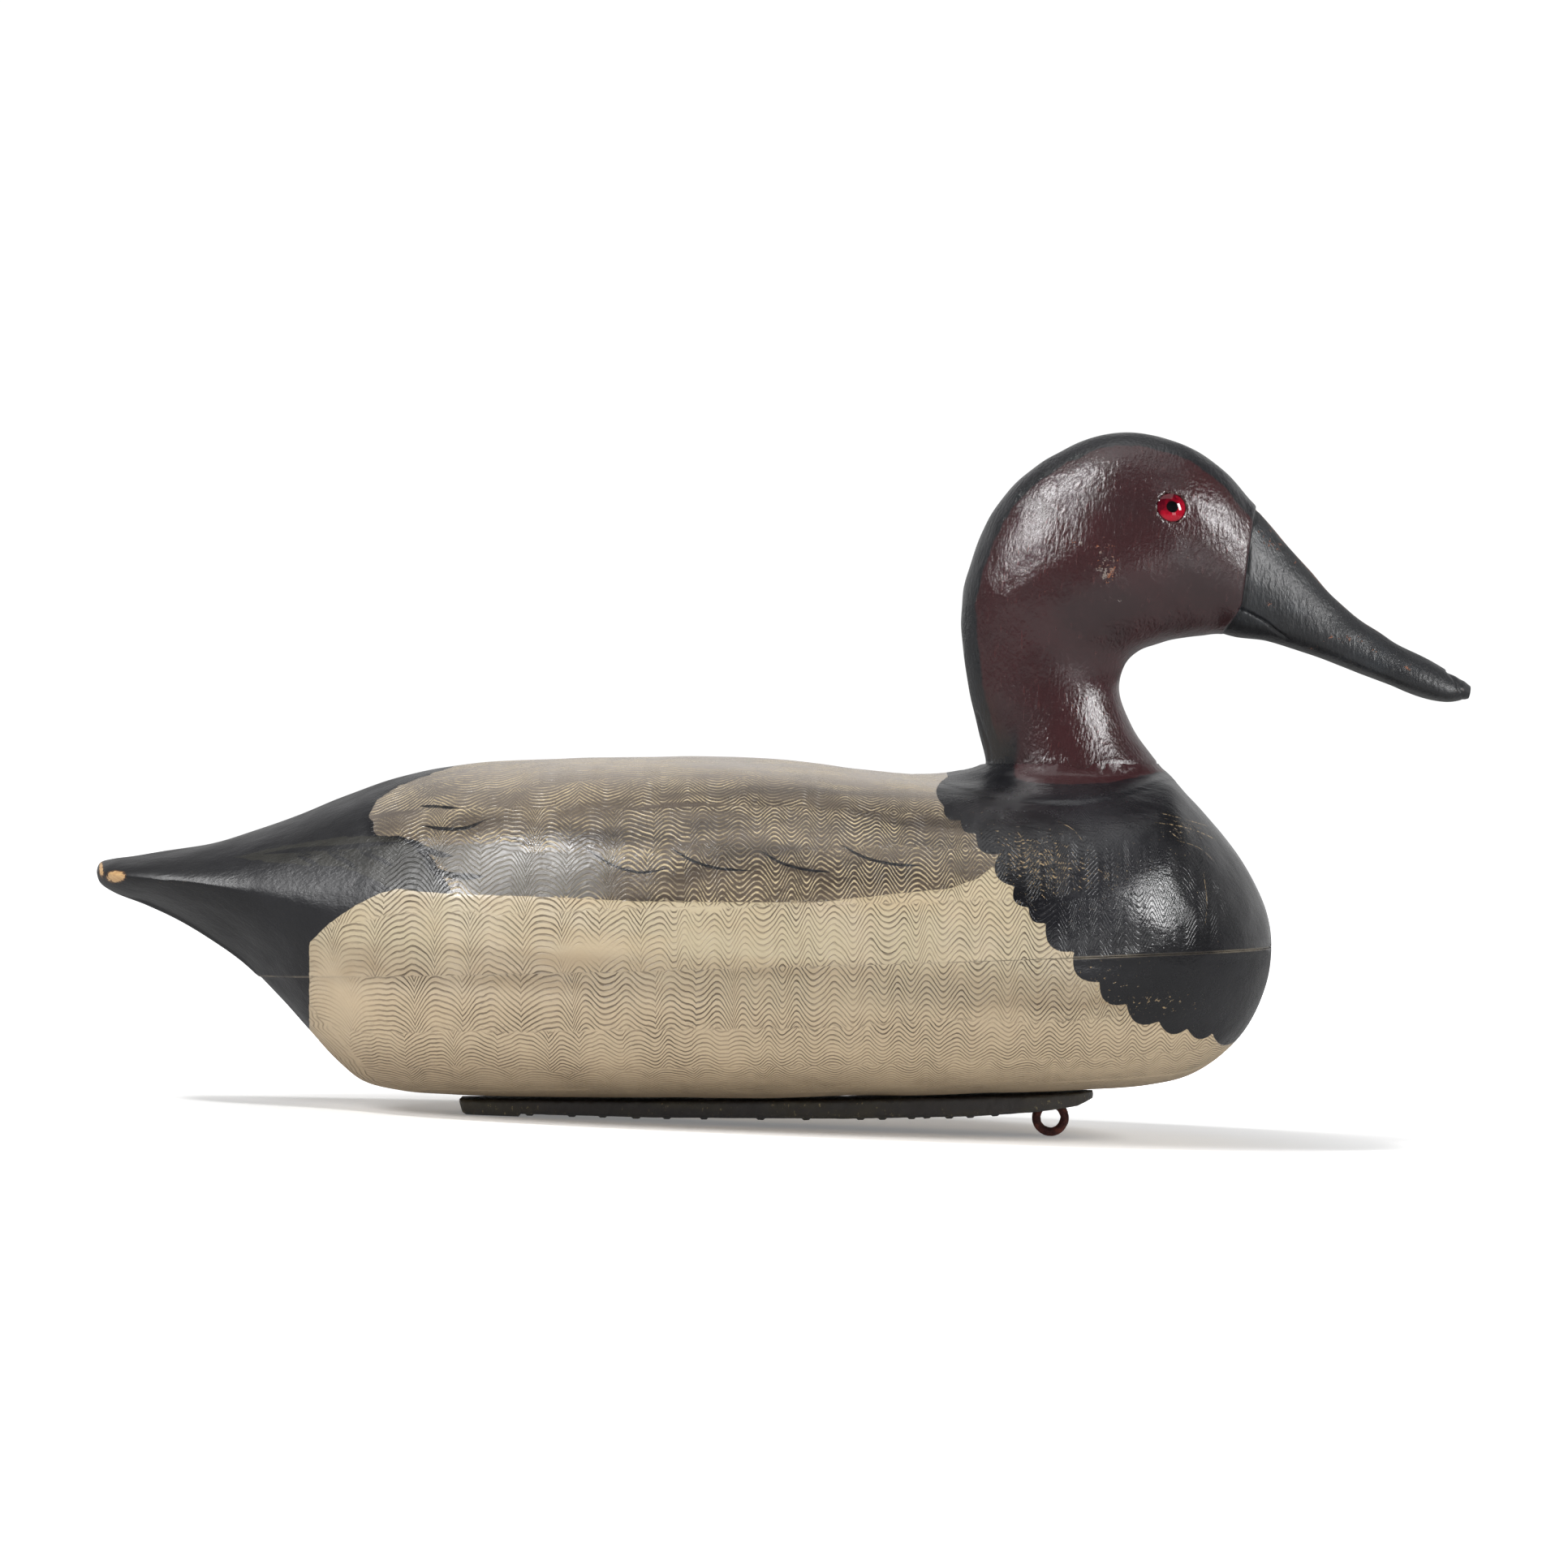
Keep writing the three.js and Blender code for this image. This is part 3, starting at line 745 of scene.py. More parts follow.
class BodyPainting:
    """Works out, for each point of the body's skin, what is painted and combed there."""

    def __init__(self, points: Array, girth: Array, over: Array, block: Block) -> None:
        """Takes the points to be painted.

        Args:
            points: Points in the carving frame, as stations by rows by three.
            girth: Each point's distance from the joint, measured round the skin.
            over: Each point's distance from the middle of the back or keel, to the left.
            block: Which block of the body it is.
        """
        self.shape = girth.shape
        self.points = points.reshape(-1, 3)
        self.girth = girth.ravel()
        self.over = over.ravel()
        self.block = block
        self.dots = SIDE_VIEW.dots(self.points)

    def passes(self) -> list[tuple[Array, Array, CombPass]]:
        """Lists the pulls of the comb in order.

        Returns:
            For each pull, what its height is measured by, what runs along it, and the pull.
        """
        x = self.points[:, 0]
        seam, ridge = self.girth, np.abs(self.over)
        if self.block is Block.UPPER:
            waves, swings = (30, 34, 32, 24, 18), (5.2, 6, 6.2, 5.2, 4.2)
            return [
                (self.over, x, CombPass(0.0, 11.0, 331, waves, (3.6, 4.0, 4.2, 3.6, 3.0))),
                (ridge, x, CombPass(17.5, 10.5, 321, waves, swings)),
                (ridge, x, CombPass(35.0, 10.5, 311, waves, swings)),
                (ridge, x, CombPass(52.0, 10.5, 301, (26, 22, 17, 12, 9), (4.2, 4.4, 4.4, 4, 3.4))),
                (seam, x, CombPass(47.0, 11.5, 341, (16, 14, 11, 9.4, 7.2), (3.4, 3.2, 3, 3, 3.6))),
                (seam, x, CombPass(28.5, 11.5, 351, (16, 14, 10, 9.4, 7), (3.6, 3.3, 3, 3.1, 4))),
                (seam, x, CombPass(8.5, 11.5, 361)),
            ]
        stern = 0.87 * (x + 158.0) + 0.5 * (12.0 - seam)
        down_stern = 0.5 * (x + 158.0) + 0.87 * seam
        wide, deep = (24.0, 20.0, 16.0, 14.0, 12.0), (3.4,) * 5
        return [
            (ridge, x, CombPass(10.0, 11.5, 401, wide, deep)),
            (ridge, x, CombPass(30.0, 11.5, 411, wide, deep)),
            (ridge, x, CombPass(50.0, 11.5, 421, wide, deep)),
            (seam, x, CombPass(47, 11.5, 431, (24, 16, 12, 10, 8), (-3.6, -3, -2.6, -2.6, -2.6))),
            (seam, x, CombPass(28, 11.5, 441, (20, 14, 10, 9.4, 8),
                               (-3.2, -2.8, -2.4, -2.4, -2.4))),
            (seam, x, CombPass(9, 11.5, 451, (20, 17, 10, 9.5, 8), (-4, -3.6, -2.8, -2.7, -2.7))),
            (stern, down_stern, CombPass(0.0, 9.0, 461, (34.0,) * 5, (1.4,) * 5)),
        ]

    def combing(self) -> dict[str, Array]:
        """Grooves of the comb.

        A groove lies wherever (height - drift - swing * wave) / pitch is a whole number, and
        the finish works out the wave itself, so that it is smooth between the points too.
        Neighbouring pulls go to two layers in turn, so that they can cross, and a later pull
        wipes most of an older one under it.

        Returns:
            For both layers the height and the swing in groove spacings, the wave's phase,
            the share of arches in it, and the grooves' strength from 0 to 1.
        """
        left = self.points[:, 1] > 0.0
        names = ("height", "swing", "turns", "arches", "depth")
        layers = {name: np.zeros((2, len(left))) for name in names}
        pull = np.zeros((2, len(left)))
        for number, (height, along, comb) in enumerate(self.passes()):
            other = replace(comb, seed=comb.seed + 1000)
            apart = left & (height is not self.over)
            turns, swing, arches, drift = (np.where(apart, far, near) for far, near in
                                           zip(other.wander(along), comb.wander(along)))
            inside = comb.reach - np.abs(height - comb.height - drift)
            here, rest = number % 2, 1 - number % 2
            layers["depth"][rest] *= 1.0 - 0.8 * smooth_step(inside, -0.5, 2.5)
            local = (height - comb.height - drift) / comb.pitch + 40.0 * (number + 1)
            values = (local, swing / comb.pitch, turns, arches, smooth_step(inside, -0.5, 1.5))
            for name, value in zip(names, values):
                layers[name][here] = np.where(inside > 0.0, value, layers[name][here])
            pull[here] = np.where(inside > 0.0, number + 1, pull[here])
        layers["depth"] *= np.stack([self.alone(pull[0]), self.alone(pull[1])])
        return {f"comb_{name}_{layer}": table[number] for name, table in layers.items()
                for number, layer in enumerate("ab")}

    def alone(self, pull: Array) -> Array:
        """Where a point and all its neighbours on the grid are from the same pull.

        Args:
            pull: The number of each point's pull.

        Returns:
            1 at such points and 0 at the others.
        """
        table = pull.reshape(self.shape)
        same = np.ones(self.shape)
        for rows in (-1, 0, 1):
            for columns in (-1, 0, 1):
                same *= table == np.roll(table, (rows, columns), axis=(0, 1))
        return same.ravel()

    def fields(self) -> dict[str, Array]:
        """Everything that the body's finish reads.

        Returns:
            Numbers for each point, by attribute name; edges are in millimetres, positive
            inside the paint that they bound.
        """
        dots = self.dots
        edge = scalloped(BREAST_EDGE, 0.33)
        below_wing = edge[5 * len(ARC_SHARES):]
        breast = SIDE_VIEW.inside(dots, (*edge, (1900, 1300), (1900, 850), (1188, 850)))
        flank = SIDE_VIEW.inside(dots, (*FLANK_TOP, *below_wing, (1900, 1300), (1900, 1700),
                                        (381, 1700)))
        rump = SIDE_VIEW.inside(dots, (*RUMP_EDGE, (558, 1400), (0, 1400), (0, 850), (575, 850)))
        patch = smooth_step(SIDE_VIEW.inside(dots, PATCH), -0.3, 0.8)
        patch *= 1.0 - smooth_step(dots[:, 0], 640.0, 840.0)
        leaf = SIDE_VIEW.inside(dots, LEAF)
        combing = self.combing()
        kept = self.combed(breast, flank, rump)
        offset, half_width = self.marks(FEATHERS)
        scratch_offset, scratch_width = self.marks(SCRATCHES)
        combing["comb_depth_a"] *= kept
        combing["comb_depth_b"] *= kept
        return combing | {
            "breast": breast, "flank": flank, "rump": rump, "patch": patch, "leaf": leaf,
            "collar": self.collar(),
            "feather_offset": offset, "feather_width": half_width,
            "scratch_offset": scratch_offset, "scratch_width": scratch_width,
            "worn": sum(place.at(dots) for place in WORN),
            "bare": sum(place.at(dots) for place in BARE),
            "girth": self.girth, "over": np.abs(self.over),
        }

    def combed(self, breast: Array, flank: Array, rump: Array) -> Array:
        """How deep the comb's grooves are left, after rubbing and painting over.

        Args:
            breast: Each point's distance inside the breast's paint.
            flank: Its distance inside the side's paint.
            rump: Its distance inside the rump's paint.

        Returns:
            A share of the full depth for each point.
        """
        breast_share = np.clip(sum(place.at(self.dots) for place in COMBED_BREAST), 0.0, 1.0)
        if self.block is Block.LOWER:
            breast_share *= 0.0
        kept = np.where(breast > 0.0, breast_share, 1.0)
        rump_share = 0.8 * smooth_step(self.dots[:, 0], 452.0, 500.0)
        kept = np.where((rump > 0.0) & (flank < 0.0), rump_share, kept)
        rubbed = np.clip(sum(place.at(self.dots) for place in SMOOTHED), 0.0, 1.0)
        uneven = 0.84 + 0.22 * ripple(self.points, 24.0, 77)
        return kept * (1.0 - 0.92 * rubbed) * np.clip(uneven, 0.25, 1.0)

    def collar(self) -> Array:
        """How far each point is above the lower edge of the neck's maroon paint.

        Returns:
            The distance in millimetres, negative outside the paint.
        """
        edge = Outline(COLLAR_EDGE)
        above = (edge(self.dots[:, 0]) - self.dots[:, 1]) * SIDE_VIEW.dot
        behind = (self.dots[:, 0] - 1250.0) * SIDE_VIEW.dot
        ahead = (1436.0 - self.dots[:, 0]) * SIDE_VIEW.dot
        return np.minimum(np.minimum(above, behind), ahead)

    def marks(self, wanted: tuple[Brushmark, ...]) -> tuple[Array, Array]:
        """Thin marks, such as painted feathers and scratches.

        Args:
            wanted: The marks, in the side view.

        Returns:
            The signed offset from the nearest mark and its half width there, which is
            nothing more than a few millimetres away.
        """
        nearest = np.full(len(self.points), np.inf)
        offset = np.full(len(self.points), 50.0)
        half_width = np.zeros(len(self.points))
        if self.block is Block.LOWER:
            return offset, half_width
        for mark in wanted:
            line = curve_points(mark.line, np.linspace(0, len(mark.line) - 1, 24))
            distance, side, along = line_offset(self.dots, line)
            distance, side = distance * SIDE_VIEW.dot, side * SIDE_VIEW.dot
            closer = distance < nearest
            nearest = np.where(closer, distance, nearest)
            taper = np.clip(4.0 * np.minimum(along + 0.05, 1.02 - along), 0.0, 1.0)
            beyond = np.abs(side) < distance - 0.05
            width = np.where((distance < 2.0) & ~beyond, mark.half_width * taper, 0.0)
            offset = np.where(closer, side, offset)
            half_width = np.where(closer, width, half_width)
        return offset, half_width


@dataclass
class Body:
    """The body: two blocks of wood, glued together at mid height."""

    joint_gap: float = 0.012
    stations: int = 384
    around: int = 236
    floor_columns: int = 7
    edge_rows: tuple[float, ...] = (0.0, 0.14, 0.34, 0.62, 1.0)
    tool_marks: Pairs = ((0.2, 38.0, 5), (0.06, 13.0, 6))
    tail_hollow: Pairs = ((185.0, 1112.0), (250.0, 1135.0), (330.0, 1180.0))

    def skin(self, block: Block) -> tuple[Array, Array, Array]:
        """The skin of one block, from the joint round to the joint.

        Each section is first followed in many small steps, and then read at even lengths,
        with a few closer rows beside the joint.

        Args:
            block: Which block.

        Returns:
            Points as stations by rows by three, and for each one the length from the nearer
            end of its section and from the section's middle.
        """
        blank = BodyBlank(BODY)
        shift = self.joint_gap / 2 * block.value
        start, end = -216.0, 153.1
        if block is Block.LOWER:
            x = np.linspace(start, end, 40001)
            below = x[blank.keel(x) < blank.seam(x) + shift]
            start, end = below[0], below[-1]
        x = blank.stations(self.stations, start, end)[:, None]
        limit = blank.seam_turn(x, blank.seam(x) + shift)
        share = np.linspace(-1.0, 1.0, 1201)[None, :]
        if block is Block.UPPER:
            turn = limit * share
        else:
            turn = np.pi - (np.pi - limit) * share
        fine = blank.section(x, turn)
        if block is Block.LOWER:
            fine = fine[:, ::-1]
        steps = np.linalg.norm(np.diff(fine[..., 1:], axis=1), axis=2)
        length = np.concatenate([np.zeros((len(x), 1)), np.cumsum(steps, axis=1)], axis=1)
        wanted = self.rows(length[:, -1:])
        y, z = read_rows(length, wanted, (fine[..., 1], fine[..., 2]))
        points = np.stack([np.broadcast_to(x, y.shape), y, z], axis=-1)
        total = length[:, -1:]
        return points, np.minimum(wanted, total - wanted), wanted - total / 2.0

    def rows(self, total: Array) -> Array:
        """Where the grid's rows lie on each section.

        Args:
            total: The whole length of each section, as a column.

        Returns:
            The length at each row, a row of them for each section.
        """
        near = np.asarray(self.edge_rows)[None, :] * np.minimum(1.0, total / 12.0)
        inner = near[:, -1:]
        share = np.linspace(0.0, 1.0, self.around - 2 * len(self.edge_rows) + 2)[None, 1:-1]
        middle = inner + (total - 2.0 * inner) * share
        return np.concatenate([near, middle, total - near[:, ::-1]], axis=1)

    def relief(self, points: Array, girth: Array) -> Array:
        """How far the skin stands proud of its plain shape.

        Long low waves are left by the spokeshave, the edges at the joint are worn round, and
        there is a hollow under the edge of the tail.

        Args:
            points: Points of the skin, one row each.
            girth: Each point's distance from the joint.

        Returns:
            The height of the relief at each point.
        """
        waves = ripples(points, self.tool_marks) - 0.22
        tips = smooth_step(points[:, 0], -216.0, -204.0)
        tips = tips * (1.0 - smooth_step(points[:, 0], 148.0, 153.0))
        dots = SIDE_VIEW.dots(points)
        hollow, _, _ = line_offset(dots, np.asarray(self.tail_hollow))
        hollow = 0.9 * np.exp(-(hollow / 22.0) ** 2)
        round_edge = 0.02 * np.exp(-(girth / 0.5) ** 2)
        return (waves - hollow) * tips * smooth_step(girth, 0.0, 3.0) - round_edge

    def build(self, block: Block) -> bpy.types.Object:
        """Makes one block with its flat face at the joint.

        Args:
            block: Which block.

        Returns:
            The piece.
        """
        points, girth, over = self.skin(block)
        rows, columns = points.shape[:2]
        outward = grid_normals(points)
        lift = self.relief(points.reshape(-1, 3), girth.ravel()).reshape(rows, columns, 1)
        lift[[0, -1]] = 0.0
        shaped = points + outward * lift
        if block is Block.UPPER:
            shaped[..., 2] = BodyBlank(BODY).seat(shaped.reshape(-1, 3)).reshape(rows, columns)
        shaped[[0, -1]] = shaped[[0, -1]].mean(axis=1, keepdims=True)
        fields = BodyPainting(shaped, girth, over, block).fields()
        share = np.linspace(0.0, 1.0, self.floor_columns + 2)[None, 1:-1, None]
        face = shaped[:, -1:] * (1.0 - share) + shaped[:, :1] * share
        whole = np.concatenate([shaped, face], axis=1)
        filled = padded(fields, (rows, columns), ((0, 0), (0, self.floor_columns)))
        faces = grid_faces(rows, columns + self.floor_columns, closed=True)
        name = "painted_upper_block" if block is Block.UPPER else "painted_lower_block"
        return make_piece(name, whole.reshape(-1, 3), faces, filled)


# Head


@dataclass(frozen=True)
class HeadShape:
    """Ribs of the head, neck and bill, in millimetres of the carving frame."""

    ribs: Pairs = (
        (63.9, 117.5, 117.3, 117.5, 22.5), (60.6, 129.2, 109.4, 129.2, 20.4),
        (57.2, 144.5, 105.8, 141.4, 18.8), (55.7, 161.4, 107.9, 149.0, 19.4),
        (57.8, 178.2, 112.0, 152.6, 21.4), (65.7, 196.6, 116.5, 154.4, 23.2),
        (80.5, 211.9, 120.8, 155.6, 23.7), (103.5, 221.4, 126.0, 156.5, 22.8),
        (124.4, 218.3, 131.8, 157.2, 20.4), (138.4, 209.8, 137.0, 157.8, 17.6),
        (148.2, 198.9, 142.6, 156.7, 15.0), (160.5, 184.6, 152.0, 155.4, 12.9),
        (174.5, 169.2, 164.0, 152.0, 11.6), (190.3, 157.0, 182.4, 144.9, 11.2),
        (204.0, 149.5, 197.7, 139.0, 11.3), (212.6, 144.2, 208.6, 136.3, 9.6),
        (216.0, 141.6, 215.2, 137.6, 4.8),
    )
    cheek_share: Pairs = (
        (0, 0.5), (3, 0.52), (6, 0.57), (9, 0.58), (11, 0.66), (14, 0.68), (16, 0.6),
    )
    crown_squareness: Pairs = ((0, 2.0), (5, 1.95), (9, 1.95), (11, 1.75), (16, 1.9))
    throat_squareness: Pairs = ((0, 2.0), (4, 2.15), (9, 2.2), (11, 2.7), (14, 2.8), (16, 2.4))
    bill_step: float = 0.6
    foot_height: float = 115.4


@dataclass(frozen=True)
class EyeShape:
    """A glass eye: where its rim's middle is, the lens, and the seat cut for it."""

    x: float = 120.9
    z: float = 197.0
    out: float = 19.6
    radius: float = 4.6
    depth: float = 3.0
    bulge: float = 1.35
    rim: float = 5.2
    seat: float = 9.0
    pit: tuple[float, float] = (3.9, 4.6)
    forward: float = math.radians(11.0)
    up: float = math.radians(13.0)

    def axes(self, side: Side) -> tuple[Array, Array]:
        """Where the eye is and how it looks out of the head.

        Args:
            side: Which eye.

        Returns:
            The middle of the rim, and three rows: along the head, upwards and outwards.
        """
        sign = side.value
        outward = np.array([
            math.sin(self.forward) * math.cos(self.up),
            sign * math.cos(self.forward) * math.cos(self.up),
            math.sin(self.up),
        ])
        along = np.cross(outward, (0.0, 0.0, 1.0)) * sign
        along /= np.linalg.norm(along)
        upward = np.cross(along, outward) * sign
        return np.array([self.x, sign * self.out, self.z]), np.stack([along, upward, outward])


HEAD = HeadShape()
EYE = EyeShape()

# Carved and worn places of the head, in dots of the side view
FACE_EDGE: Pairs = ((1556, 596), (1547, 636), (1541, 672), (1534, 723), (1529, 749), (1519, 765),
                    (1508, 779), (1496, 806))
MOUTH: Pairs = ((1527, 751), (1541, 757), (1560, 768), (1575, 780), (1590, 790))
NAIL: Pairs = ((1784, 826), (1793, 836), (1798, 847), (1803, 858), (1799, 874))
NECK_CRACK: Pairs = ((1203, 880), (1209, 897), (1216, 917), (1222, 944))
# Each cut's line, depth and half width, the last two in millimetres
CUTS: tuple[tuple[Pairs, float, float], ...] = (
    (MOUTH, 0.75, 0.55), (NAIL, 0.6, 0.5), (NECK_CRACK, 0.5, 0.4),
)
HEAD_SCUFFS: tuple[Rubbed, ...] = (
    Rubbed(1362, 690, 17, 22, 1.0), Rubbed(1330, 668, 30, 8, 0.75), Rubbed(1367, 710, 12, 12, 0.9),
    Rubbed(1294, 728, 12, 5, 0.8), Rubbed(1262, 708, 10, 16, 0.55), Rubbed(1365, 740, 30, 6, 0.55),
    Rubbed(1300, 870, 60, 30, 0.3), Rubbed(1370, 905, 30, 40, 0.35),
    Rubbed(1480, 690, 60, 50, 0.25),
    Rubbed(1560, 655, 14, 14, 0.75), Rubbed(1575, 672, 16, 8, 0.8), Rubbed(1600, 690, 16, 14, 0.5),
    Rubbed(1735, 823, 5, 5, 1.3), Rubbed(1566, 744, 6, 4, 1.2), Rubbed(1694, 803, 7, 4, 1.1),
    Rubbed(1676, 790, 26, 7, 0.75), Rubbed(1635, 785, 30, 6, 0.6), Rubbed(1620, 800, 12, 6, 0.55),
    Rubbed(1800, 850, 12, 12, 0.5), Rubbed(1655, 740, 60, 20, 0.3),
)


@dataclass
class Head:
    """The head, neck and bill: one carving."""

    rings: int = 396
    around: int = 212
    tool_marks: Pairs = ((0.17, 26.0, 15), (0.07, 9.0, 16))

    def blank(self) -> tuple[Array, Array]:
        """The carving before details.

        A section joins a point of the crown's curve to one of the throat's. It is a
        superellipse above the cheek line and another one below it.

        Returns:
            Points as rings by turns by three, and the rib number of each ring.
        """
        last = len(HEAD.ribs) - 1
        ribs = np.linspace(0.0, last, self.rings)
        table = np.asarray(HEAD.ribs)
        crown = curve_points(table[:, [0, 1]], ribs)
        throat = curve_points(table[:, [2, 3]], ribs)
        half_width = curve_points(table[:, [0, 4, 1]], ribs)[:, 1:2]
        cheek = Outline(HEAD.cheek_share)(ribs)[:, None]
        side = crown + (throat - crown) * cheek
        turns = np.linspace(0.0, 2.0 * np.pi, self.around, endpoint=False)[None, :]
        above = np.cos(turns) >= 0.0
        squareness = np.where(above, Outline(HEAD.crown_squareness)(ribs)[:, None],
                              Outline(HEAD.throat_squareness)(ribs)[:, None])
        rise, reach = rounded(turns, 2.0 / squareness)
        end_x = np.where(above, crown[:, :1], throat[:, :1])
        end_z = np.where(above, crown[:, 1:], throat[:, 1:])
        x = side[:, :1] + (end_x - side[:, :1]) * rise
        z = side[:, 1:] + (end_z - side[:, 1:]) * rise
        y = half_width * reach
        z[0] = HEAD.foot_height
        return np.stack([x, y, z], axis=-1), ribs

    def relief(self, points: Array) -> Array:
        """Carved details as heights above the plain shape.

        The bill is a little narrower than the face, with a groove where they meet. The mouth,
        the nail's edge and the crack at the foot of the neck are V-shaped cuts.

        Args:
            points: Points of the blank, one row each.

        Returns:
            A height for each point.
        """
        dots = SIDE_VIEW.dots(points)
        beyond = self.bill_distance(dots)
        step = HEAD.bill_step * smooth_step(beyond, -0.5, 0.6) * (
            0.4 + 0.6 * np.exp(-np.maximum(beyond, 0.0) / 30.0))
        lip = 0.12 * np.exp(-((beyond + 1.3) / 1.2) ** 2)
        groove = 0.35 * np.exp(-((beyond - 0.35) / 0.5) ** 2)
        height = (lip - step - groove) * (1.0 - 0.8 * smooth_step(dots[:, 1], 764.0, 784.0))
        for line, depth, half_width in CUTS:
            smooth = curve_points(line, np.linspace(0, len(line) - 1, 40))
            distance, _, along = line_offset(dots, smooth)
            fade = np.clip(6.0 * (1.03 - along), 0.0, 1.0) if line is MOUTH else 1.0
            height -= depth * fade * np.exp(-(distance * SIDE_VIEW.dot / half_width) ** 2)
        nail = smooth_step(dots[:, 0], 1798.0, 1806.0)
        height += 0.25 * nail
        waves = ripples(points, self.tool_marks) - 0.2
        foot = smooth_step(points[:, 2], HEAD.foot_height, HEAD.foot_height + 4.0)
        height += waves * foot * (1.0 - 0.6 * nail)
        return height + 0.5 * np.exp(-np.maximum(points[:, 2] - 117.0, 0.0) / 2.5)

    def bill_distance(self, dots: Array) -> Array:
        """Returns how many millimetres each place is inside the bill, in front of the face."""
        edge = curve_points(FACE_EDGE, np.linspace(0, len(FACE_EDGE) - 1, 40))
        return SIDE_VIEW.inside(dots, (*map(tuple, edge), (1900, 1000), (1900, 500)))

    def socket(self, points: Array) -> tuple[Array, Array]:
        """Sinks a round seat for each eye, with a bead of putty around it.

        Args:
            points: Points of the head, one row each.

        Returns:
            The moved points, and how far each is from an eye's middle across its axis.
        """
        moved = points.copy()
        nearest = np.full(len(points), 50.0)
        for side in Side:
            middle, axes = EYE.axes(side)
            away = (moved - middle) @ axes.T
            radius = np.hypot(away[:, 0], away[:, 1])
            near = (np.abs(away[:, 2]) < 8.0) & (radius < 12.0)
            nearest = np.where(near, np.minimum(nearest, radius), nearest)
            level = 0.85 * (1.0 - smooth_step(radius, EYE.rim, EYE.seat))
            out = away[:, 2] * (1.0 - level) + 0.1 * level
            bead = 0.3 * np.exp(-((radius - EYE.rim) / 0.5) ** 2)
            pit = (EYE.depth - 0.2) * (1.0 - smooth_step(radius, *EYE.pit))
            out = out + bead - pit
            moved += np.where(near, out - away[:, 2], 0.0)[:, None] * axes[2]
        return moved, nearest

    def build(self) -> bpy.types.Object:
        """Makes the carving, closed at the neck's foot and at the bill's tip.

        Returns:
            The piece.
        """
        points, ribs = self.blank()
        rings, around = points.shape[:2]
        flat = points.reshape(-1, 3)
        dots = SIDE_VIEW.dots(flat)
        outward = grid_normals(np.concatenate([points[:, -1:], points, points[:, :1]], axis=1))
        outward = outward[:, 1:-1].reshape(-1, 3)
        lift = self.relief(flat)
        ends = np.repeat(ribs, around)
        lift = np.where(ends > 15.2, lift * (16.0 - ends) / 0.8, lift)
        shaped, eye_distance = self.socket(flat + outward * lift[:, None])
        shaped[:around, 2] = HEAD.foot_height
        crown = curve_points(np.asarray(HEAD.ribs)[:, [0, 1]], np.linspace(0, 16, 240))
        crown_depth, _, _ = line_offset(flat[:, [0, 2]], crown)
        fields = {
            "crown_depth": crown_depth, "bill": self.bill_distance(dots),
            "scuffed": sum(place.at(dots) for place in HEAD_SCUFFS),
            "eye_distance": eye_distance, "rib": ends,
        }
        grid = shaped.reshape(rings, around, 3)
        caps = [np.broadcast_to(grid[i].mean(axis=0), grid[i].shape) for i in (0, -1)]
        whole = np.concatenate([caps[0][None], grid, caps[1][None]])
        filled = padded(fields, (rings, around), ((1, 1), (0, 0)))
        faces = grid_faces(rings + 2, around, closed=True)
        return make_piece("painted_head", whole.reshape(-1, 3), faces, filled)


# Eyes


@dataclass
class Eye:
    """A glass eye, domed in front and flat behind."""

    side: Side
    rings: int = 40
    around: int = 72

    def turned(self, name: str, radii: Array, heights: Array) -> bpy.types.Object:
        """Turns a profile round the eye's axis.

        Args:
            name: The piece's name.
            radii: Distances from the axis.
            heights: Heights along the axis, outwards.

        Returns:
            The piece, with each point's distance from the axis as an attribute, and another that
            rises towards the eye's lower front, where the iris gets painted light.
        """
        middle, axes = EYE.axes(self.side)
        turns = np.linspace(0.0, 2.0 * np.pi, self.around, endpoint=False)[None, :]
        flat = np.stack([radii[:, None] * np.cos(turns), radii[:, None] * np.sin(turns),
                         np.broadcast_to(heights[:, None], (len(radii), self.around))], axis=-1)
        points = (flat @ axes + middle).reshape(-1, 3)
        faces = grid_faces(len(radii), self.around, closed=True)
        if self.side is Side.LEFT:
            faces = faces[:, ::-1]
        spread = np.repeat(radii, self.around)
        # Rises towards the eye's lower front: there the finish paints a glow of light gathered by
        # the glass, and painted shade towards the upper rear.
        painted_glow = (flat[..., 0] * 0.6 - flat[..., 1] * 0.8).ravel() / EYE.radius
        return make_piece(name, points, faces, {"from_axis": spread, "painted_glow": painted_glow})

    def build(self) -> bpy.types.Object:
        """Makes the eye: a low dome over a flat back, closed at both poles.

        Returns:
            The piece.
        """
        share = np.linspace(0.0, 1.0, self.rings)
        back_height = -1.5
        sphere = (EYE.radius ** 2 + EYE.bulge ** 2) / (2.0 * EYE.bulge)
        dome_r = EYE.radius * share
        dome_z = np.sqrt(sphere ** 2 - dome_r ** 2) - (sphere - EYE.bulge)
        wall_z = np.linspace(0.0, back_height, 8)[1:]
        wall_r = np.full(len(wall_z), EYE.radius * 0.995)
        back_r = EYE.radius * np.linspace(0.98, 0.0, 20)
        radii = np.concatenate([dome_r, wall_r, back_r])
        heights = np.concatenate([dome_z, wall_z, np.full(len(back_r), back_height)])
        return self.turned(f"glass_eye_{self.side.name.lower()}", radii, heights)


# Weight and ring


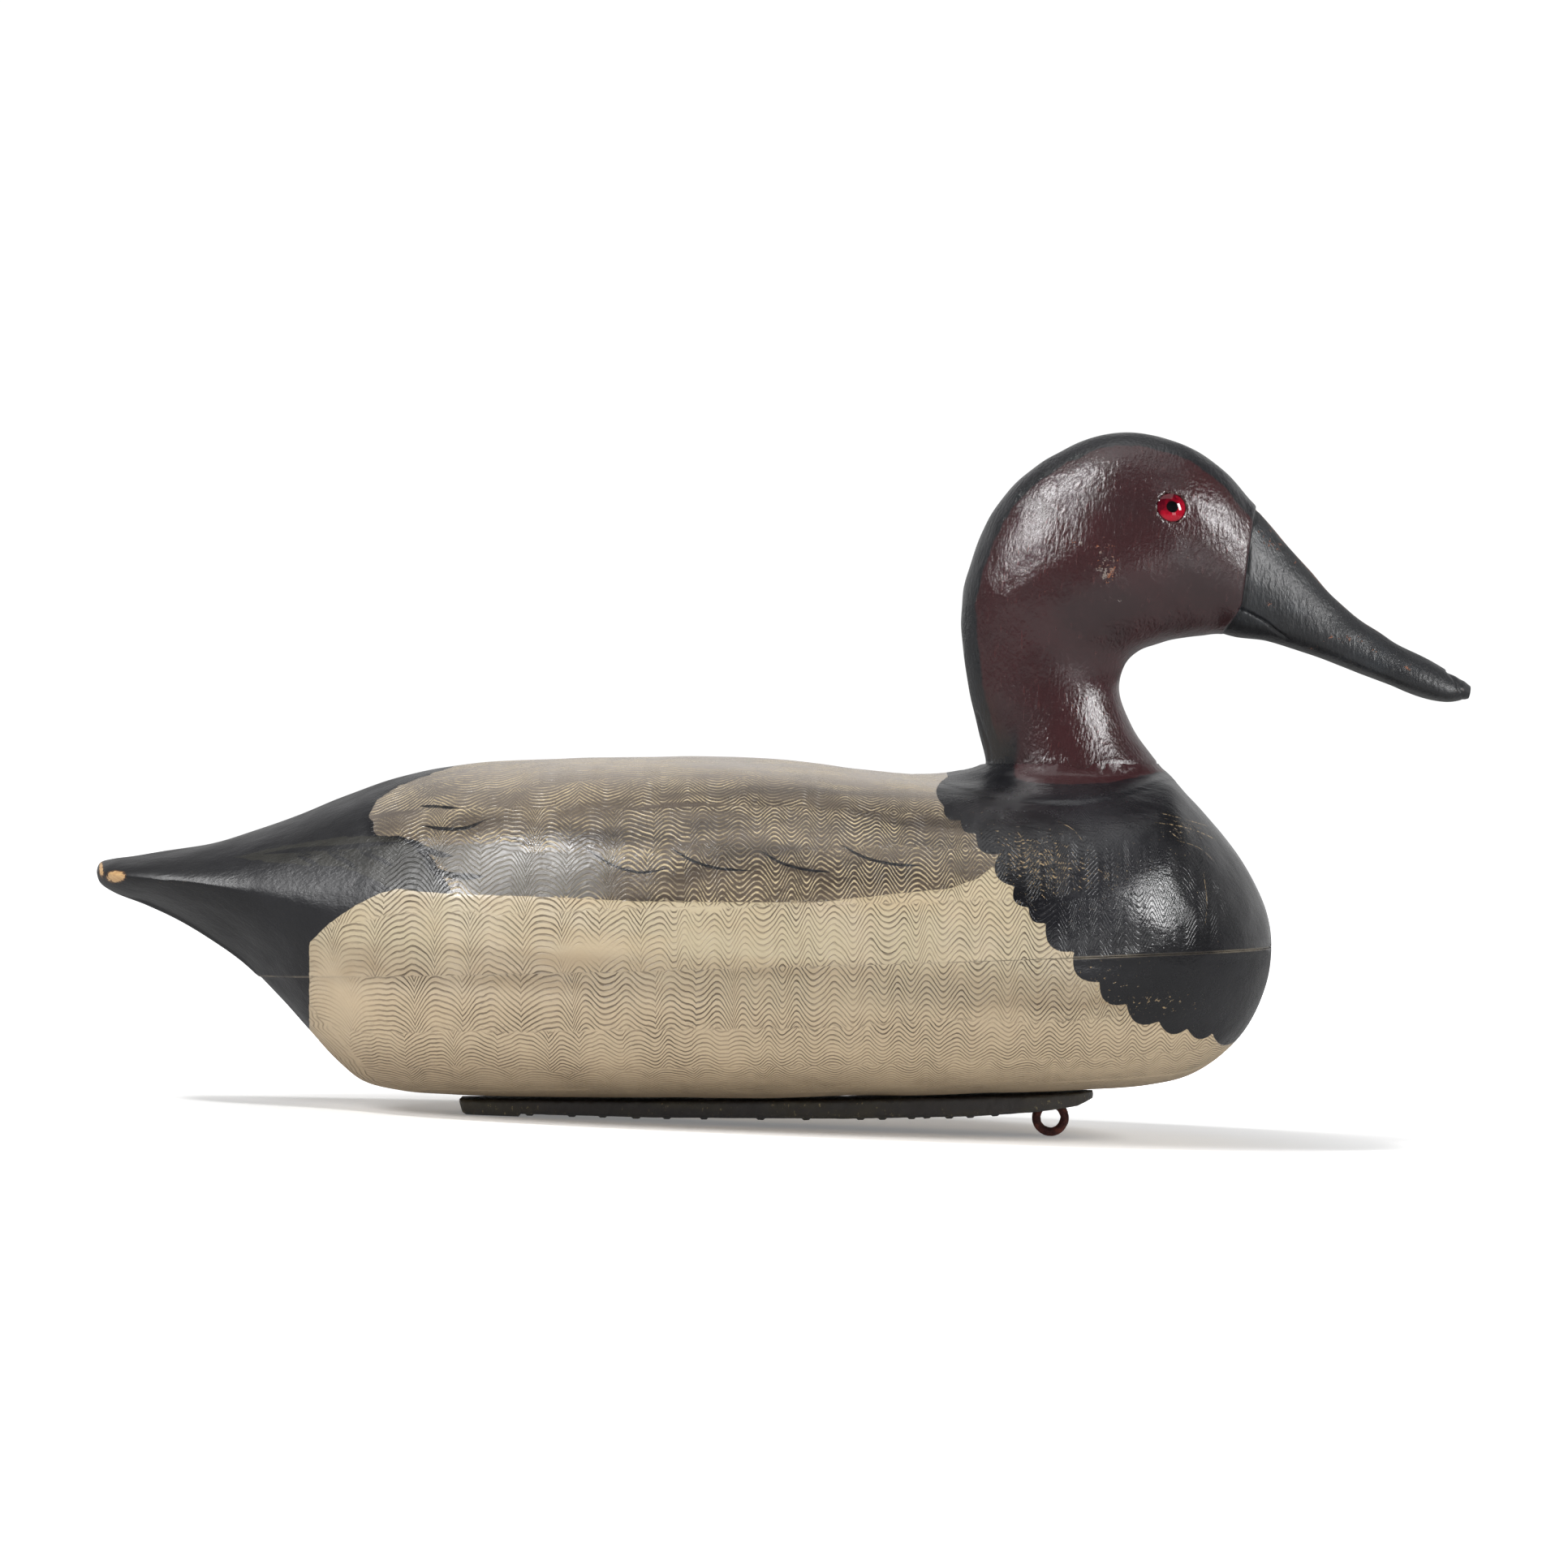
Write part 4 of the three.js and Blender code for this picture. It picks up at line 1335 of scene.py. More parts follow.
@dataclass
class Weight:
    """The cast weight along the keel, with raised strokes on its underside."""

    stations: int = 640
    around: int = 132
    heel_x: float = -101.6
    nose_x: float = 97.4
    half_width: float = 16.0
    squareness: float = 7.0
    corner: float = 5.0
    underside: Pairs = (
        (-101.6, 11.2), (-100.6, 8.0), (-99.4, 7.3), (-83.0, 6.6469), (-82.4, 7.5), (-74.0, 7.2),
        (-40.0, 6.3), (20.0, 5.9), (60.0, 6.7), (80.0, 8.1), (92.0, 9.8), (97.4, 12.2),
    )
    strokes: tuple[float, ...] = (-79.6, -66.1, -56.4, -45.9, -36.5, -25.2, -7.8, 6.5, 23.8, 31.0,
                                  40.4, 45.3, 52.2, 58.5, 66.0)
    stroke_height: float = 0.6
    casting: Pairs = ((0.13, 7.0, 41), (0.08, 2.6, 42))
    wire_holes: tuple[float, ...] = (80.4, 87.4)

    def half_width_at(self, x: Array) -> Array:
        """Half the weight's width, with small round corners at the heel and a round nose.

        Args:
            x: Places along the weight.

        Returns:
            The half width at each place.
        """
        heel = np.clip((self.heel_x + self.corner - x) / self.corner, 0.0, 1.0)
        nose = np.clip((x - self.nose_x + self.half_width) / self.half_width, 0.0, 1.0)
        return (self.half_width - self.corner * (1.0 - np.sqrt(1.0 - heel ** 2))
                - self.half_width * (1.0 - np.sqrt(1.0 - nose ** 2)))

    def build(self) -> bpy.types.Object:
        """Makes the casting.

        A section is a superellipse of high power, so nearly a box with round edges, between
        the keel above and the underside below. Both are rough from the mould.

        Returns:
            The piece.
        """
        share = np.linspace(0.0, 1.0, self.stations)
        ends = 0.5 - 0.5 * np.cos(np.pi * share)
        x = (self.heel_x + (self.nose_x - self.heel_x) * (0.85 * share + 0.15 * ends))[:, None]
        keel = Outline(BODY.keel)
        top = keel(np.maximum(x, -85.0)) - 0.4
        known_x, known_z = np.asarray(self.underside).T
        low = np.interp(x, known_x, known_z)
        low = np.minimum(low, top - 0.05)
        turns = np.linspace(0.0, 2.0 * np.pi, self.around, endpoint=False)[None, :]
        rise, reach = rounded(turns, 2.0 / self.squareness)
        rise = rise * np.sign(np.cos(turns))
        y = self.half_width_at(x) * reach
        z = (top + low) / 2.0 + (top - low) / 2.0 * rise
        points = np.stack([np.broadcast_to(x, z.shape), y, z], axis=-1)
        flat = points.reshape(-1, 3)
        downward = np.clip(-np.broadcast_to(rise, z.shape).ravel(), 0.0, 1.0) ** 6
        cast = 0.0
        for number, stroke_x in enumerate(self.strokes):
            reach_y = (26 - 3 * (number % 3)) / 2.0
            lean = 0.05 * math.sin(7.0 * number)
            across = np.abs(flat[:, 0] - stroke_x - lean * flat[:, 1])
            bar = (1.0 - smooth_step(across, 0.75, 1.5)) * (
                1.0 - smooth_step(np.abs(flat[:, 1]), reach_y - 1.5, reach_y + 0.5))
            cast = np.maximum(cast, bar)
        flat[:, 2] -= self.stroke_height * cast * downward
        middle = flat.reshape(z.shape + (3,)).mean(axis=1, keepdims=True)
        away = (flat.reshape(z.shape + (3,)) - middle).reshape(-1, 3)
        out = away / np.maximum(np.linalg.norm(away, axis=1, keepdims=True), 1e-6)
        rough = ripples(flat, self.casting)
        standing = (np.abs(flat[:, 0] + 91.2) < 8.6) & (downward > 0.5)
        rough = np.where(standing, 0.0, rough) - 0.12
        shaped = flat + out * np.where(standing, 0.0, rough)[:, None]
        for wire_x in self.wire_holes:
            hole = np.hypot(shaped[:, 0] - wire_x, shaped[:, 1])
            shaped[:, 2] += 1.2 * downward * (1.0 - smooth_step(hole, 1.3, 2.2))
        heel, nose = (np.broadcast_to(ring.mean(axis=0), ring.shape)
                      for ring in (shaped[:self.around], shaped[-self.around:]))
        whole = np.concatenate([heel, shaped[:-self.around], nose])
        strokes = np.concatenate([np.zeros(self.around), cast * downward])
        faces = grid_faces(self.stations + 1, self.around, closed=True)
        return make_piece("cast_weight", whole, faces, {"stroke": strokes})


@dataclass
class TieRing:
    """The iron ring that the anchor line is tied to."""

    x: float = 83.9
    outer: float = 5.83
    wire: float = 1.41
    around: int = 120
    section: int = 36
    pits: Pairs = ((0.05, 1.6, 51), (0.04, 4.0, 52))

    def build(self) -> bpy.types.Object:
        """Makes the ring: a circle carried round a circle, pitted by rust.

        Returns:
            The piece.
        """
        middle = self.outer - self.wire
        turn = np.linspace(0.0, 2.0 * np.pi, self.around, endpoint=False)[:, None]
        bend = np.linspace(0.0, 2.0 * np.pi, self.section, endpoint=False)[None, :]
        out = np.stack([np.cos(turn) * np.cos(bend), np.sin(bend) + 0.0 * turn,
                        np.sin(turn) * np.cos(bend)], axis=-1)
        spine = np.stack([np.cos(turn), 0.0 * turn, np.sin(turn)], axis=-1) * middle
        centre = np.array([self.x, 0.0, self.outer])
        flat = (centre + spine + out * self.wire).reshape(-1, 3)
        pits = ripples(flat, self.pits) - 0.05
        pits = np.minimum(pits, 0.0)
        flat = flat + out.reshape(-1, 3) * pits[:, None]
        grid = flat.reshape(self.around, self.section, 3)
        closed = np.concatenate([grid, grid[:1]])
        faces = grid_faces(self.around + 1, self.section, closed=True)[:, ::-1]
        return make_piece("tie_ring", closed.reshape(-1, 3), faces, {})


# Finishes


def shade(red: int, green: int, blue: int) -> Colour:
    """Turns a colour as a screen shows it into the light that it stands for.

    Args:
        red: The red part, from 0 to 255.
        green: The green part.
        blue: The blue part.

    Returns:
        The colour as a material takes it.
    """
    levels = np.array([red, green, blue]) / 255.0
    linear = np.where(levels <= 0.04045, levels / 12.92, ((levels + 0.055) / 1.055) ** 2.4)
    return (*map(float, linear), 1.0)


class Recipe:
    """Builds one finish as a tree of nodes, step by step."""

    def __init__(self, name: str) -> None:
        """Starts a finish.

        Args:
            name: The material's name.
        """
        self.material = bpy.data.materials.new(name)
        self.material.use_nodes = True
        self.tree = self.material.node_tree
        self.tree.nodes.clear()
        output = self.node("OutputMaterial")
        self.shader = self.node("BsdfPrincipled")
        self.tree.links.new(self.shader.outputs[0], output.inputs["Surface"])
        self.place = self.node("TexCoord").outputs["Object"]

    def node(self, kind: str) -> bpy.types.Node:
        """Adds a node of a kind to the tree."""
        return self.tree.nodes.new("ShaderNode" + kind)

    def plug(self, value: Value | Colour, socket: Socket) -> None:
        """Links a socket to another one, or sets it.

        Args:
            value: What the socket gets.
            socket: The socket.
        """
        if isinstance(value, bpy.types.NodeSocket):
            self.tree.links.new(value, socket)
        else:
            socket.default_value = value

    def split_place(self) -> tuple[Socket, Socket, Socket]:
        """Gives a place's distance along, to the left and up, in metres.

        Returns:
            The three distances.
        """
        node = self.node("SeparateXYZ")
        self.plug(self.place, node.inputs[0])
        return node.outputs[0], node.outputs[1], node.outputs[2]

    def read(self, name: str) -> Socket:
        """Reads an attribute of the mesh.

        Args:
            name: The attribute's name.

        Returns:
            Its value at each place.
        """
        node = self.node("Attribute")
        node.attribute_name = name
        return node.outputs["Fac"]

    def math(self, operation: str, *values: Value) -> Socket:
        """Works one number out of up to three.

        Args:
            operation: The operation's name.
            values: The numbers.

        Returns:
            The result.
        """
        node = self.node("Math")
        node.operation = operation
        for value, socket in zip(values, node.inputs):
            self.plug(value, socket)
        return node.outputs[0]

    def add(self, first: Value, second: Value) -> Socket:
        """Adds two numbers."""
        return self.math("ADD", first, second)

    def times(self, *values: Value) -> Socket:
        """Multiplies numbers.

        Args:
            values: The numbers.

        Returns:
            Their product.
        """
        total = values[0]
        for value in values[1:]:
            total = self.math("MULTIPLY", total, value)
        return total

    def step(self, value: Value, low: float, high: float, start: float = 0.0,
             end: float = 1.0) -> Socket:
        """A soft step from start to end as value goes from low to high.

        Args:
            value: What the step is read at.
            low: Where it starts.
            high: Where it ends.
            start: The result at low.
            end: The result at high.

        Returns:
            The step's height.
        """
        node = self.node("MapRange")
        node.interpolation_type = "SMOOTHSTEP"
        for number, item in enumerate((value, low, high, start, end)):
            self.plug(item, node.inputs[number])
        return node.outputs[0]

    def grain(self, size: float, detail: float = 3.0, stretch: Triple = (1, 1, 1),
              turn: Triple = (0, 0, 0), roughness: float = 0.55) -> Socket:
        """Random grain.

        Args:
            size: Its coarsest size in millimetres.
            detail: How many finer layers it has.
            stretch: How many times longer it is along x, y and z.
            turn: How it is turned first, in degrees.
            roughness: How strong the finer layers are.

        Returns:
            A number around a half.
        """
        mapping = self.node("Mapping")
        self.plug(self.place, mapping.inputs["Vector"])
        mapping.inputs["Rotation"].default_value = [math.radians(a) for a in turn]
        mapping.inputs["Scale"].default_value = [1.0 / s for s in stretch]
        noise = self.node("TexNoise")
        noise.inputs["Scale"].default_value = 1.0 / (size * METRES_PER_MM)
        noise.inputs["Detail"].default_value = detail
        noise.inputs["Roughness"].default_value = roughness
        self.plug(mapping.outputs[0], noise.inputs["Vector"])
        return noise.outputs["Fac"]

    def centred(self, grain: Socket, amount: float) -> Socket:
        """Moves grain so that it lies around nought, and scales it."""
        return self.times(self.math("SUBTRACT", grain, 0.5), amount)

    def within(self, field: str, edge: Socket, amount: float, low: float, high: float) -> Socket:
        """Whether a place is inside the paint that an attribute bounds.

        Args:
            field: The attribute, as a distance inside the paint's edge.
            edge: The edge's unevenness.
            amount: How much of the unevenness the edge has.
            low: The distance at which the paint starts.
            high: The distance at which it covers.

        Returns:
            The paint's share.
        """
        return self.step(self.add(self.read(field), self.times(edge, amount)), low, high)

    def blend(self, share: Value, first: Socket | Colour, second: Socket | Colour) -> Socket:
        """Goes from the first colour to the second by a share.

        Args:
            share: 0 for the first colour, 1 for the second.
            first: The colour underneath.
            second: The colour laid over it.

        Returns:
            The mixed colour.
        """
        node = self.node("Mix")
        node.data_type = "RGBA"
        self.plug(share, node.inputs[0])
        self.plug(first, node.inputs[6])
        self.plug(second, node.inputs[7])
        return node.outputs[2]

    def relief(self, height: Socket) -> None:
        """Makes the surface look raised.

        Args:
            height: The relief's height in millimetres.
        """
        node = self.node("Bump")
        node.inputs["Strength"].default_value = 1.0
        node.inputs["Distance"].default_value = METRES_PER_MM
        self.plug(height, node.inputs["Height"])
        self.tree.links.new(node.outputs[0], self.shader.inputs["Normal"])

    def set(self, **values: Value | Colour) -> None:
        """Sets or links sockets of the shader; an underscore stands for a space."""
        for name, value in values.items():
            self.plug(value, self.shader.inputs[name.replace("_", " ")])


@dataclass(frozen=True)
class BodyFinish:
    """Combed paint in drab, sand and black, worn where the decoy was handled."""

    sand: Colour = shade(172, 159, 132)
    # Sand with painted bounce light, for low on the side.
    sand_painted_bounce: Colour = shade(180, 161, 132)
    sand_cool: Colour = shade(180, 167, 151)
    # Dark brown for the grooves in the sand: dirt in them and painted shade.
    sand_groove_dirt_and_shade: Colour = shade(72, 56, 38)
    drab: Colour = shade(53, 45, 39)
    drab_light: Colour = shade(86, 76, 66)
    drab_line: Colour = shade(204, 185, 148)
    # Lighter drab for the top of the back: a painted sheen.
    drab_painted_sheen: Colour = shade(170, 161, 152)
    patch: Colour = shade(74, 69, 62)
    patch_line: Colour = shade(122, 115, 102)
    leaf: Colour = shade(38, 37, 33)
    black: Colour = shade(16, 16, 19)
    black_dusty: Colour = shade(26, 26, 30)
    maroon: Colour = shade(53, 30, 32)
    undercoat: Colour = shade(160, 138, 104)
    wood: Colour = shade(206, 176, 128)

    def comb_marks(self, r: Recipe) -> tuple[Socket, Socket, Socket]:
        """What the comb left in the paint.

        Args:
            r: The finish's tree.

        Returns:
            The bottom of the grooves, bared on the drab and darkened on the sand, their depth, and
            the ridges between them.
        """
        wobble = r.centred(r.grain(1.6, 3.0, (2.0, 1.0, 1.0)), 0.4)
        patchy = r.step(r.grain(5.0, 2.0), 0.3, 0.6, 0.65, 1.0)
        marks = []
        for name in "ab":
            turns = r.read(f"comb_turns_{name}")
            bow = r.math("POWER", r.math("ABSOLUTE", r.math("SINE", r.times(turns, 0.5))), 0.85)
            bow = r.add(r.times(bow, 2.0), -1.0)
            sine = r.times(r.math("ARCSINE", r.times(r.math("SINE", turns), 0.8)), 1.08)
            share = r.read(f"comb_arches_{name}")
            wave = r.add(sine, r.times(share, r.math("SUBTRACT", bow, sine)))
            wave = r.times(wave, r.read(f"comb_swing_{name}"))
            phase = r.add(r.math("SUBTRACT", r.read(f"comb_height_{name}"), wave), wobble)
            near = r.math("PINGPONG", phase, 0.5)
            tooth = r.node("TexWhiteNoise")
            tooth.noise_dimensions = "1D"
            r.plug(r.math("FLOOR", r.add(phase, 0.5)), tooth.inputs["W"])
            depth = r.read(f"comb_depth_{name}")
            bite = r.times(r.step(tooth.outputs["Value"], 0.0, 0.8, 0.7, 1.0), patchy, depth)
            marks.append((r.times(r.step(near, 0.25, 0.11), bite),
                          r.times(r.step(near, 0.19, 0.02), bite),
                          r.times(r.step(near, 0.27, 0.43), depth)))
        return tuple(r.math("MAXIMUM", first, second) for first, second in zip(*marks))

    def stroke(self, r: Recipe, name: str, edge: Socket, low: float, high: float) -> Socket:
        """Thin strokes: a place is on one if its offset is less than the stroke's half width.

        Args:
            r: The finish's tree.
            name: What the strokes' two attributes are named after.
            edge: The strokes' unevenness.
            low: How far inside a stroke it starts.
            high: How far inside it covers.

        Returns:
            The strokes' share.
        """
        width = r.read(f"{name}_width")
        offset = r.math("ABSOLUTE", r.read(f"{name}_offset"))
        inside = r.math("SUBTRACT", r.add(width, edge), offset)
        return r.times(r.step(inside, low, high), r.step(width, 0.02, 0.12))

    def build(self) -> bpy.types.Material:
        """Builds the finish.

        Returns:
            The material.
        """
        r = Recipe("body_paint")
        uneven = r.grain(11.0, 3.0, (2.0, 1.0, 1.0))
        clouds = r.grain(55.0, 4.0)
        specks = r.grain(1.1, 4.0, (1.6, 1.0, 1.0), roughness=0.7)
        fine = r.grain(0.5, 3.0, roughness=0.7)
        line, cut, ridge = self.comb_marks(r)

        along, _, up = r.split_place()
        low = r.times(r.step(up, 0.058, 0.022), r.step(along, 0.02, -0.09))
        sand = r.blend(r.add(low, r.step(clouds, 0.5, 0.75, 0.0, 0.5)), self.sand, self.sand_cool)
        sand = r.blend(r.step(uneven, 0.35, 0.75, 0.0, 0.22), sand, shade(176, 150, 116))
        streaks = r.grain(12.0, 3.0, (8.0, 1.0, 1.0))
        sand = r.blend(r.step(streaks, 0.5, 0.72, 0.0, 0.4), sand, shade(168, 146, 112))
        # Low on the side the sand is painted lighter, a painted bounce light from the floor, and
        # along the bottom it is painted darker, painted shade where the side faces down.
        sand = r.blend(r.step(up, 0.05, 0.034, 0.0, 0.95), sand, self.sand_painted_bounce)
        sand = r.blend(r.step(up, 0.026, 0.013, 0.0, 0.45), sand, shade(138, 118, 92))
        band = r.times(r.step(up, 0.056, 0.051), r.step(up, 0.039, 0.045),
                       r.step(streaks, 0.3, 0.7, 0.25, 0.75))
        sand = r.blend(band, sand, shade(146, 128, 102))
        # The grooves in the sand are painted dark: dirt in them, and painted shade where light
        # reaches them less.
        sand = r.blend(r.times(line, r.step(uneven, 0.25, 0.6, 1.0, 0.7)), sand, self.sand_groove_dirt_and_shade)

        long_streaks = r.grain(16.0, 4.0, (5.0, 1.0, 1.0))
        drab = r.blend(r.step(long_streaks, 0.36, 0.6), self.drab, self.drab_light)
        # Painted sheen: the top of the back, within about 62 mm of its middle line and fading
        # towards the tail, is painted lighter in place of the backdrop's reflection.
        forward = r.step(along, -0.13, -0.06, 0.3, 1.0)
        top = r.times(r.step(r.read("over"), 62.0, 24.0, 0.0, 0.85), forward)
        drab = r.blend(top, drab, self.drab_painted_sheen)
        bared = r.times(line, r.step(r.add(specks, r.times(uneven, 0.5)), 0.55, 0.78, 0.1, 1.0))
        bared = r.times(bared, r.step(r.grain(9.0, 4.0, (3.0, 1.0, 1.0)), 0.4, 0.58, 0.25, 1.0))
        drab = r.blend(bared, drab, self.drab_line)
        patch = r.blend(r.times(line, 0.8), self.patch, self.patch_line)
        edge = r.centred(r.grain(3.2, 3.0), 1.5)
        drab = r.blend(r.within("patch", edge, 0.4, 0.15, 0.85), drab, patch)

        black = r.blend(r.step(clouds, 0.4, 0.7), self.black, self.black_dusty)
        leaf = r.within("leaf", edge, 1.0, -0.2, 0.25)
        rump = r.blend(r.times(leaf, r.step(uneven, 0.2, 0.5, 0.55, 1.0)), black, self.leaf)
        colour = r.blend(r.within("rump", edge, 0.8, -0.15, 0.15), drab, rump)
        colour = r.blend(r.within("flank", edge, 0.45, -0.12, 0.12), colour, sand)
        on_breast = r.within("breast", edge, 0.35, -0.12, 0.12)
        colour = r.blend(on_breast, colour, black)

        mark = self.stroke(r, "feather", r.times(edge, 0.22), -0.12, 0.12)
        colour = r.blend(r.times(mark, r.step(specks, 0.25, 0.5, 0.6, 1.0)), colour, self.black)

        scratch = self.stroke(r, "scratch", r.times(edge, 0.2), -0.05, 0.1)
        scratch = r.times(scratch, r.step(specks, 0.42, 0.6, 0.0, 0.8))
        colour = r.blend(scratch, colour, self.undercoat)
        worn = r.read("worn")
        chance = r.add(r.add(specks, r.times(ridge, 0.14)), r.times(worn, 0.16))
        chips = r.times(r.step(chance, 0.75, 0.82), r.step(worn, 0.08, 0.35))
        stray = r.step(r.add(fine, r.times(specks, 0.5)), 1.02, 1.06)
        colour = r.blend(r.times(r.math("MAXIMUM", chips, stray), 0.7), colour, self.undercoat)
        collar = r.within("collar", edge, 0.8, -0.2, 0.2)
        colour = r.blend(collar, colour, self.maroon)
        ragged = r.add(r.read("bare"), r.centred(specks, 0.9))
        bare = r.step(ragged, 0.42, 0.5)
        rim = r.step(ragged, 0.25, 0.36)
        wood = r.blend(r.grain(1.2, 3.0, (5.0, 1.0, 1.0)), self.wood, shade(140, 92, 48))
        colour = r.blend(bare, r.blend(rim, colour, shade(70, 48, 30)), wood)
        # A pale line along the glued joint: on the dark paints a painted highlight along the
        # joint's edge, on the sand a faint darker joint line.
        seam_line_and_highlight = r.times(r.step(r.read("girth"), 0.6, 0.1), r.step(uneven, 0.3, 0.7, 0.1, 0.6))
        colour = r.blend(r.times(seam_line_and_highlight, 0.7), colour, shade(146, 134, 114))

        r.set(Base_Color=colour, Specular_IOR_Level=0.6)
        gloss = r.add(r.step(uneven, 0.3, 0.7, 0.14, 0.24), r.times(fine, 0.12))
        gloss = r.add(gloss, r.times(r.step(r.read("rump"), 0.0, 4.0), 0.13))
        gloss = r.add(gloss, r.times(r.read("patch"), 0.1))
        r.set(Roughness=r.add(gloss, r.times(r.step(r.read("flank"), 0.0, 2.0), 0.26)))
        height = r.times(cut, r.step(on_breast, 0.0, 1.0, -0.2, -0.13))
        height = r.add(height, r.times(cut, r.step(r.read("flank"), 0.0, 1.0), -0.12))
        height = r.add(height, r.times(r.grain(0.8, 4.0, (2.0, 1.0, 1.0)), 0.09))
        height = r.add(height, r.times(r.grain(3.2, 3.0, (1.6, 1.0, 1.0)), 0.19))
        height = r.add(height, r.times(chips, -0.1))
        r.relief(height)
        return r.material


@dataclass(frozen=True)
class HeadFinish:
    """Maroon head with a black stripe over nape and crown, and a blue-black bill."""

    maroon: Colour = shade(53, 28, 30)
    maroon_deep: Colour = shade(44, 25, 27)
    stripe: Colour = shade(24, 25, 28)
    bill: Colour = shade(13, 15, 19)
    bill_grey: Colour = shade(29, 33, 38)
    filler: Colour = shade(130, 120, 112)
    wood: Colour = shade(140, 84, 54)

    def build(self) -> bpy.types.Material:
        """Builds the finish.

        Returns:
            The material.
        """
        r = Recipe("head_paint")
        clouds = r.grain(30.0, 4.0)
        streaks = r.grain(1.1, 4.0, (1.0, 1.0, 5.0), (0.0, 38.0, 0.0))
        specks = r.grain(1.2, 4.0, roughness=0.7)
        fine = r.grain(0.45, 3.0, roughness=0.7)
        edge = r.centred(r.grain(4.0, 3.0, (1.0, 1.0, 2.0)), 2.2)
        maroon = r.blend(r.step(clouds, 0.38, 0.66), self.maroon, self.maroon_deep)
        maroon = r.blend(r.step(streaks, 0.55, 0.8, 0.0, 0.35), maroon, shade(84, 48, 48))
        crown = r.within("crown_depth", edge, 1.0, 4.9, 4.3)
        colour = r.blend(crown, maroon, self.stripe)
        base = r.within("rib", edge, 0.1, 1.2, 0.3)
        along, _, _ = r.split_place()
        behind = r.step(r.add(along, r.times(edge, 0.0004)), 0.0735, 0.0715)
        colour = r.blend(r.times(base, behind), colour, self.stripe)
        bill = r.blend(r.step(r.grain(9.0, 4.0, (2.5, 1.0, 1.0), (0, 36, 0)), 0.5, 0.75),
                       self.bill, self.bill_grey)
        on_bill = r.within("bill", edge, 0.12, -0.25, 0.05)
        colour = r.blend(on_bill, colour, bill)
        ridge = r.times(r.within("crown_depth", edge, 0.25, 0.5, 0.1), on_bill)
        ridge = r.times(ridge, r.step(r.read("rib"), 13.4, 12.0),
                        r.step(specks, 0.42, 0.6, 0.1, 0.6))
        colour = r.blend(ridge, colour, self.wood)
        scuffed = r.read("scuffed")
        chance = r.add(specks, r.times(scuffed, 0.17))
        chips = r.times(r.step(chance, 0.7, 0.76), r.step(scuffed, 0.1, 0.4))
        kind = r.step(r.grain(5.0, 2.0), 0.5, 0.6)
        chip_colour = r.blend(r.math("MAXIMUM", kind, on_bill), self.filler, self.wood)
        colour = r.blend(r.times(chips, 0.75), colour, chip_colour)
        stray = r.step(r.add(fine, r.times(streaks, 0.6)), 1.04, 1.1)
        colour = r.blend(r.times(stray, 0.5), colour, self.filler)
        bead = r.times(r.step(r.read("eye_distance"), 6.0, 5.3), r.step(specks, 0.45, 0.7))
        colour = r.blend(r.times(bead, 0.5), colour, shade(90, 84, 74))
        r.set(Base_Color=colour, Specular_IOR_Level=0.8)
        gloss = r.add(r.step(clouds, 0.3, 0.7, 0.13, 0.2), r.times(fine, 0.1))
        r.set(Roughness=r.add(gloss, r.times(on_bill, 0.2)))
        height = r.times(streaks, 0.2)
        height = r.add(height, r.times(r.grain(2.2, 4.0, (1.0, 1.0, 1.6), (0, 38, 0)), 0.16))
        height = r.add(height, r.times(r.grain(0.9, 4.0, (1.0, 1.0, 1.6), (0, -30, 0)), 0.17))
        height = r.add(height, r.times(chips, -0.12))
        r.relief(height)
        return r.material


@dataclass(frozen=True)
class EyeFinish:
    """Red glass with a black pupil; the iris is painted brighter towards its lower front and darker
    towards its upper rear, painted light and shade of light gathered by the glass.
    """

    # The iris's red where its painted light falls, and a darker red for its painted shade and its
    # rim.
    red: Colour = shade(150, 13, 34)
    dark_red: Colour = shade(66, 6, 18)
    pupil: Colour = shade(10, 8, 10)

    def build(self) -> bpy.types.Material:
        """Builds the finish.

        Returns:
            The material.
        """
        r = Recipe("eye_glass")
        spread = r.read("from_axis")
        clouds = r.centred(r.grain(1.2, 2.0), 1.6)
        # Painted light and shade: bright red towards the iris's lower front, dark red towards its
        # upper rear.
        red = r.blend(r.step(r.add(r.read("painted_glow"), clouds), -0.75, 0.45), self.dark_red, self.red)
        red = r.blend(r.step(spread, 4.05, 4.6), red, self.dark_red)
        colour = r.blend(r.step(spread, 2.1, 1.7), red, self.pupil)
        r.set(Base_Color=colour, Roughness=0.5, Specular_IOR_Level=0.0)
        r.set(Coat_Weight=1.0, Coat_Roughness=0.03)
        return r.material


@dataclass(frozen=True)
class WeightFinish:
    """Black paint on cast lead, flecked with olive and tan."""

    black: Colour = shade(68, 66, 66)
    olive: Colour = shade(82, 79, 64)
    fleck: Colour = shade(150, 138, 108)

    def build(self) -> bpy.types.Material:
        """Builds the finish.

        Returns:
            The material.
        """
        r = Recipe("weight_paint")
        clouds = r.grain(14.0, 4.0, (1.5, 1.0, 0.6))
        specks = r.grain(1.3, 4.0, (0.8, 1.0, 1.6), roughness=0.7)
        colour = r.blend(r.step(clouds, 0.45, 0.7, 0.0, 0.6), self.black, self.olive)
        chips = r.times(r.step(specks, 0.6, 0.68), r.step(clouds, 0.42, 0.6))
        colour = r.blend(chips, colour, self.fleck)
        colour = r.blend(r.times(r.step(r.read("stroke"), 0.6, 1.0), 0.35), colour, self.olive)
        r.set(Base_Color=colour, Roughness=r.step(specks, 0.3, 0.7, 0.38, 0.62))
        r.relief(r.add(r.times(specks, 0.25), r.times(clouds, 0.3)))
        return r.material


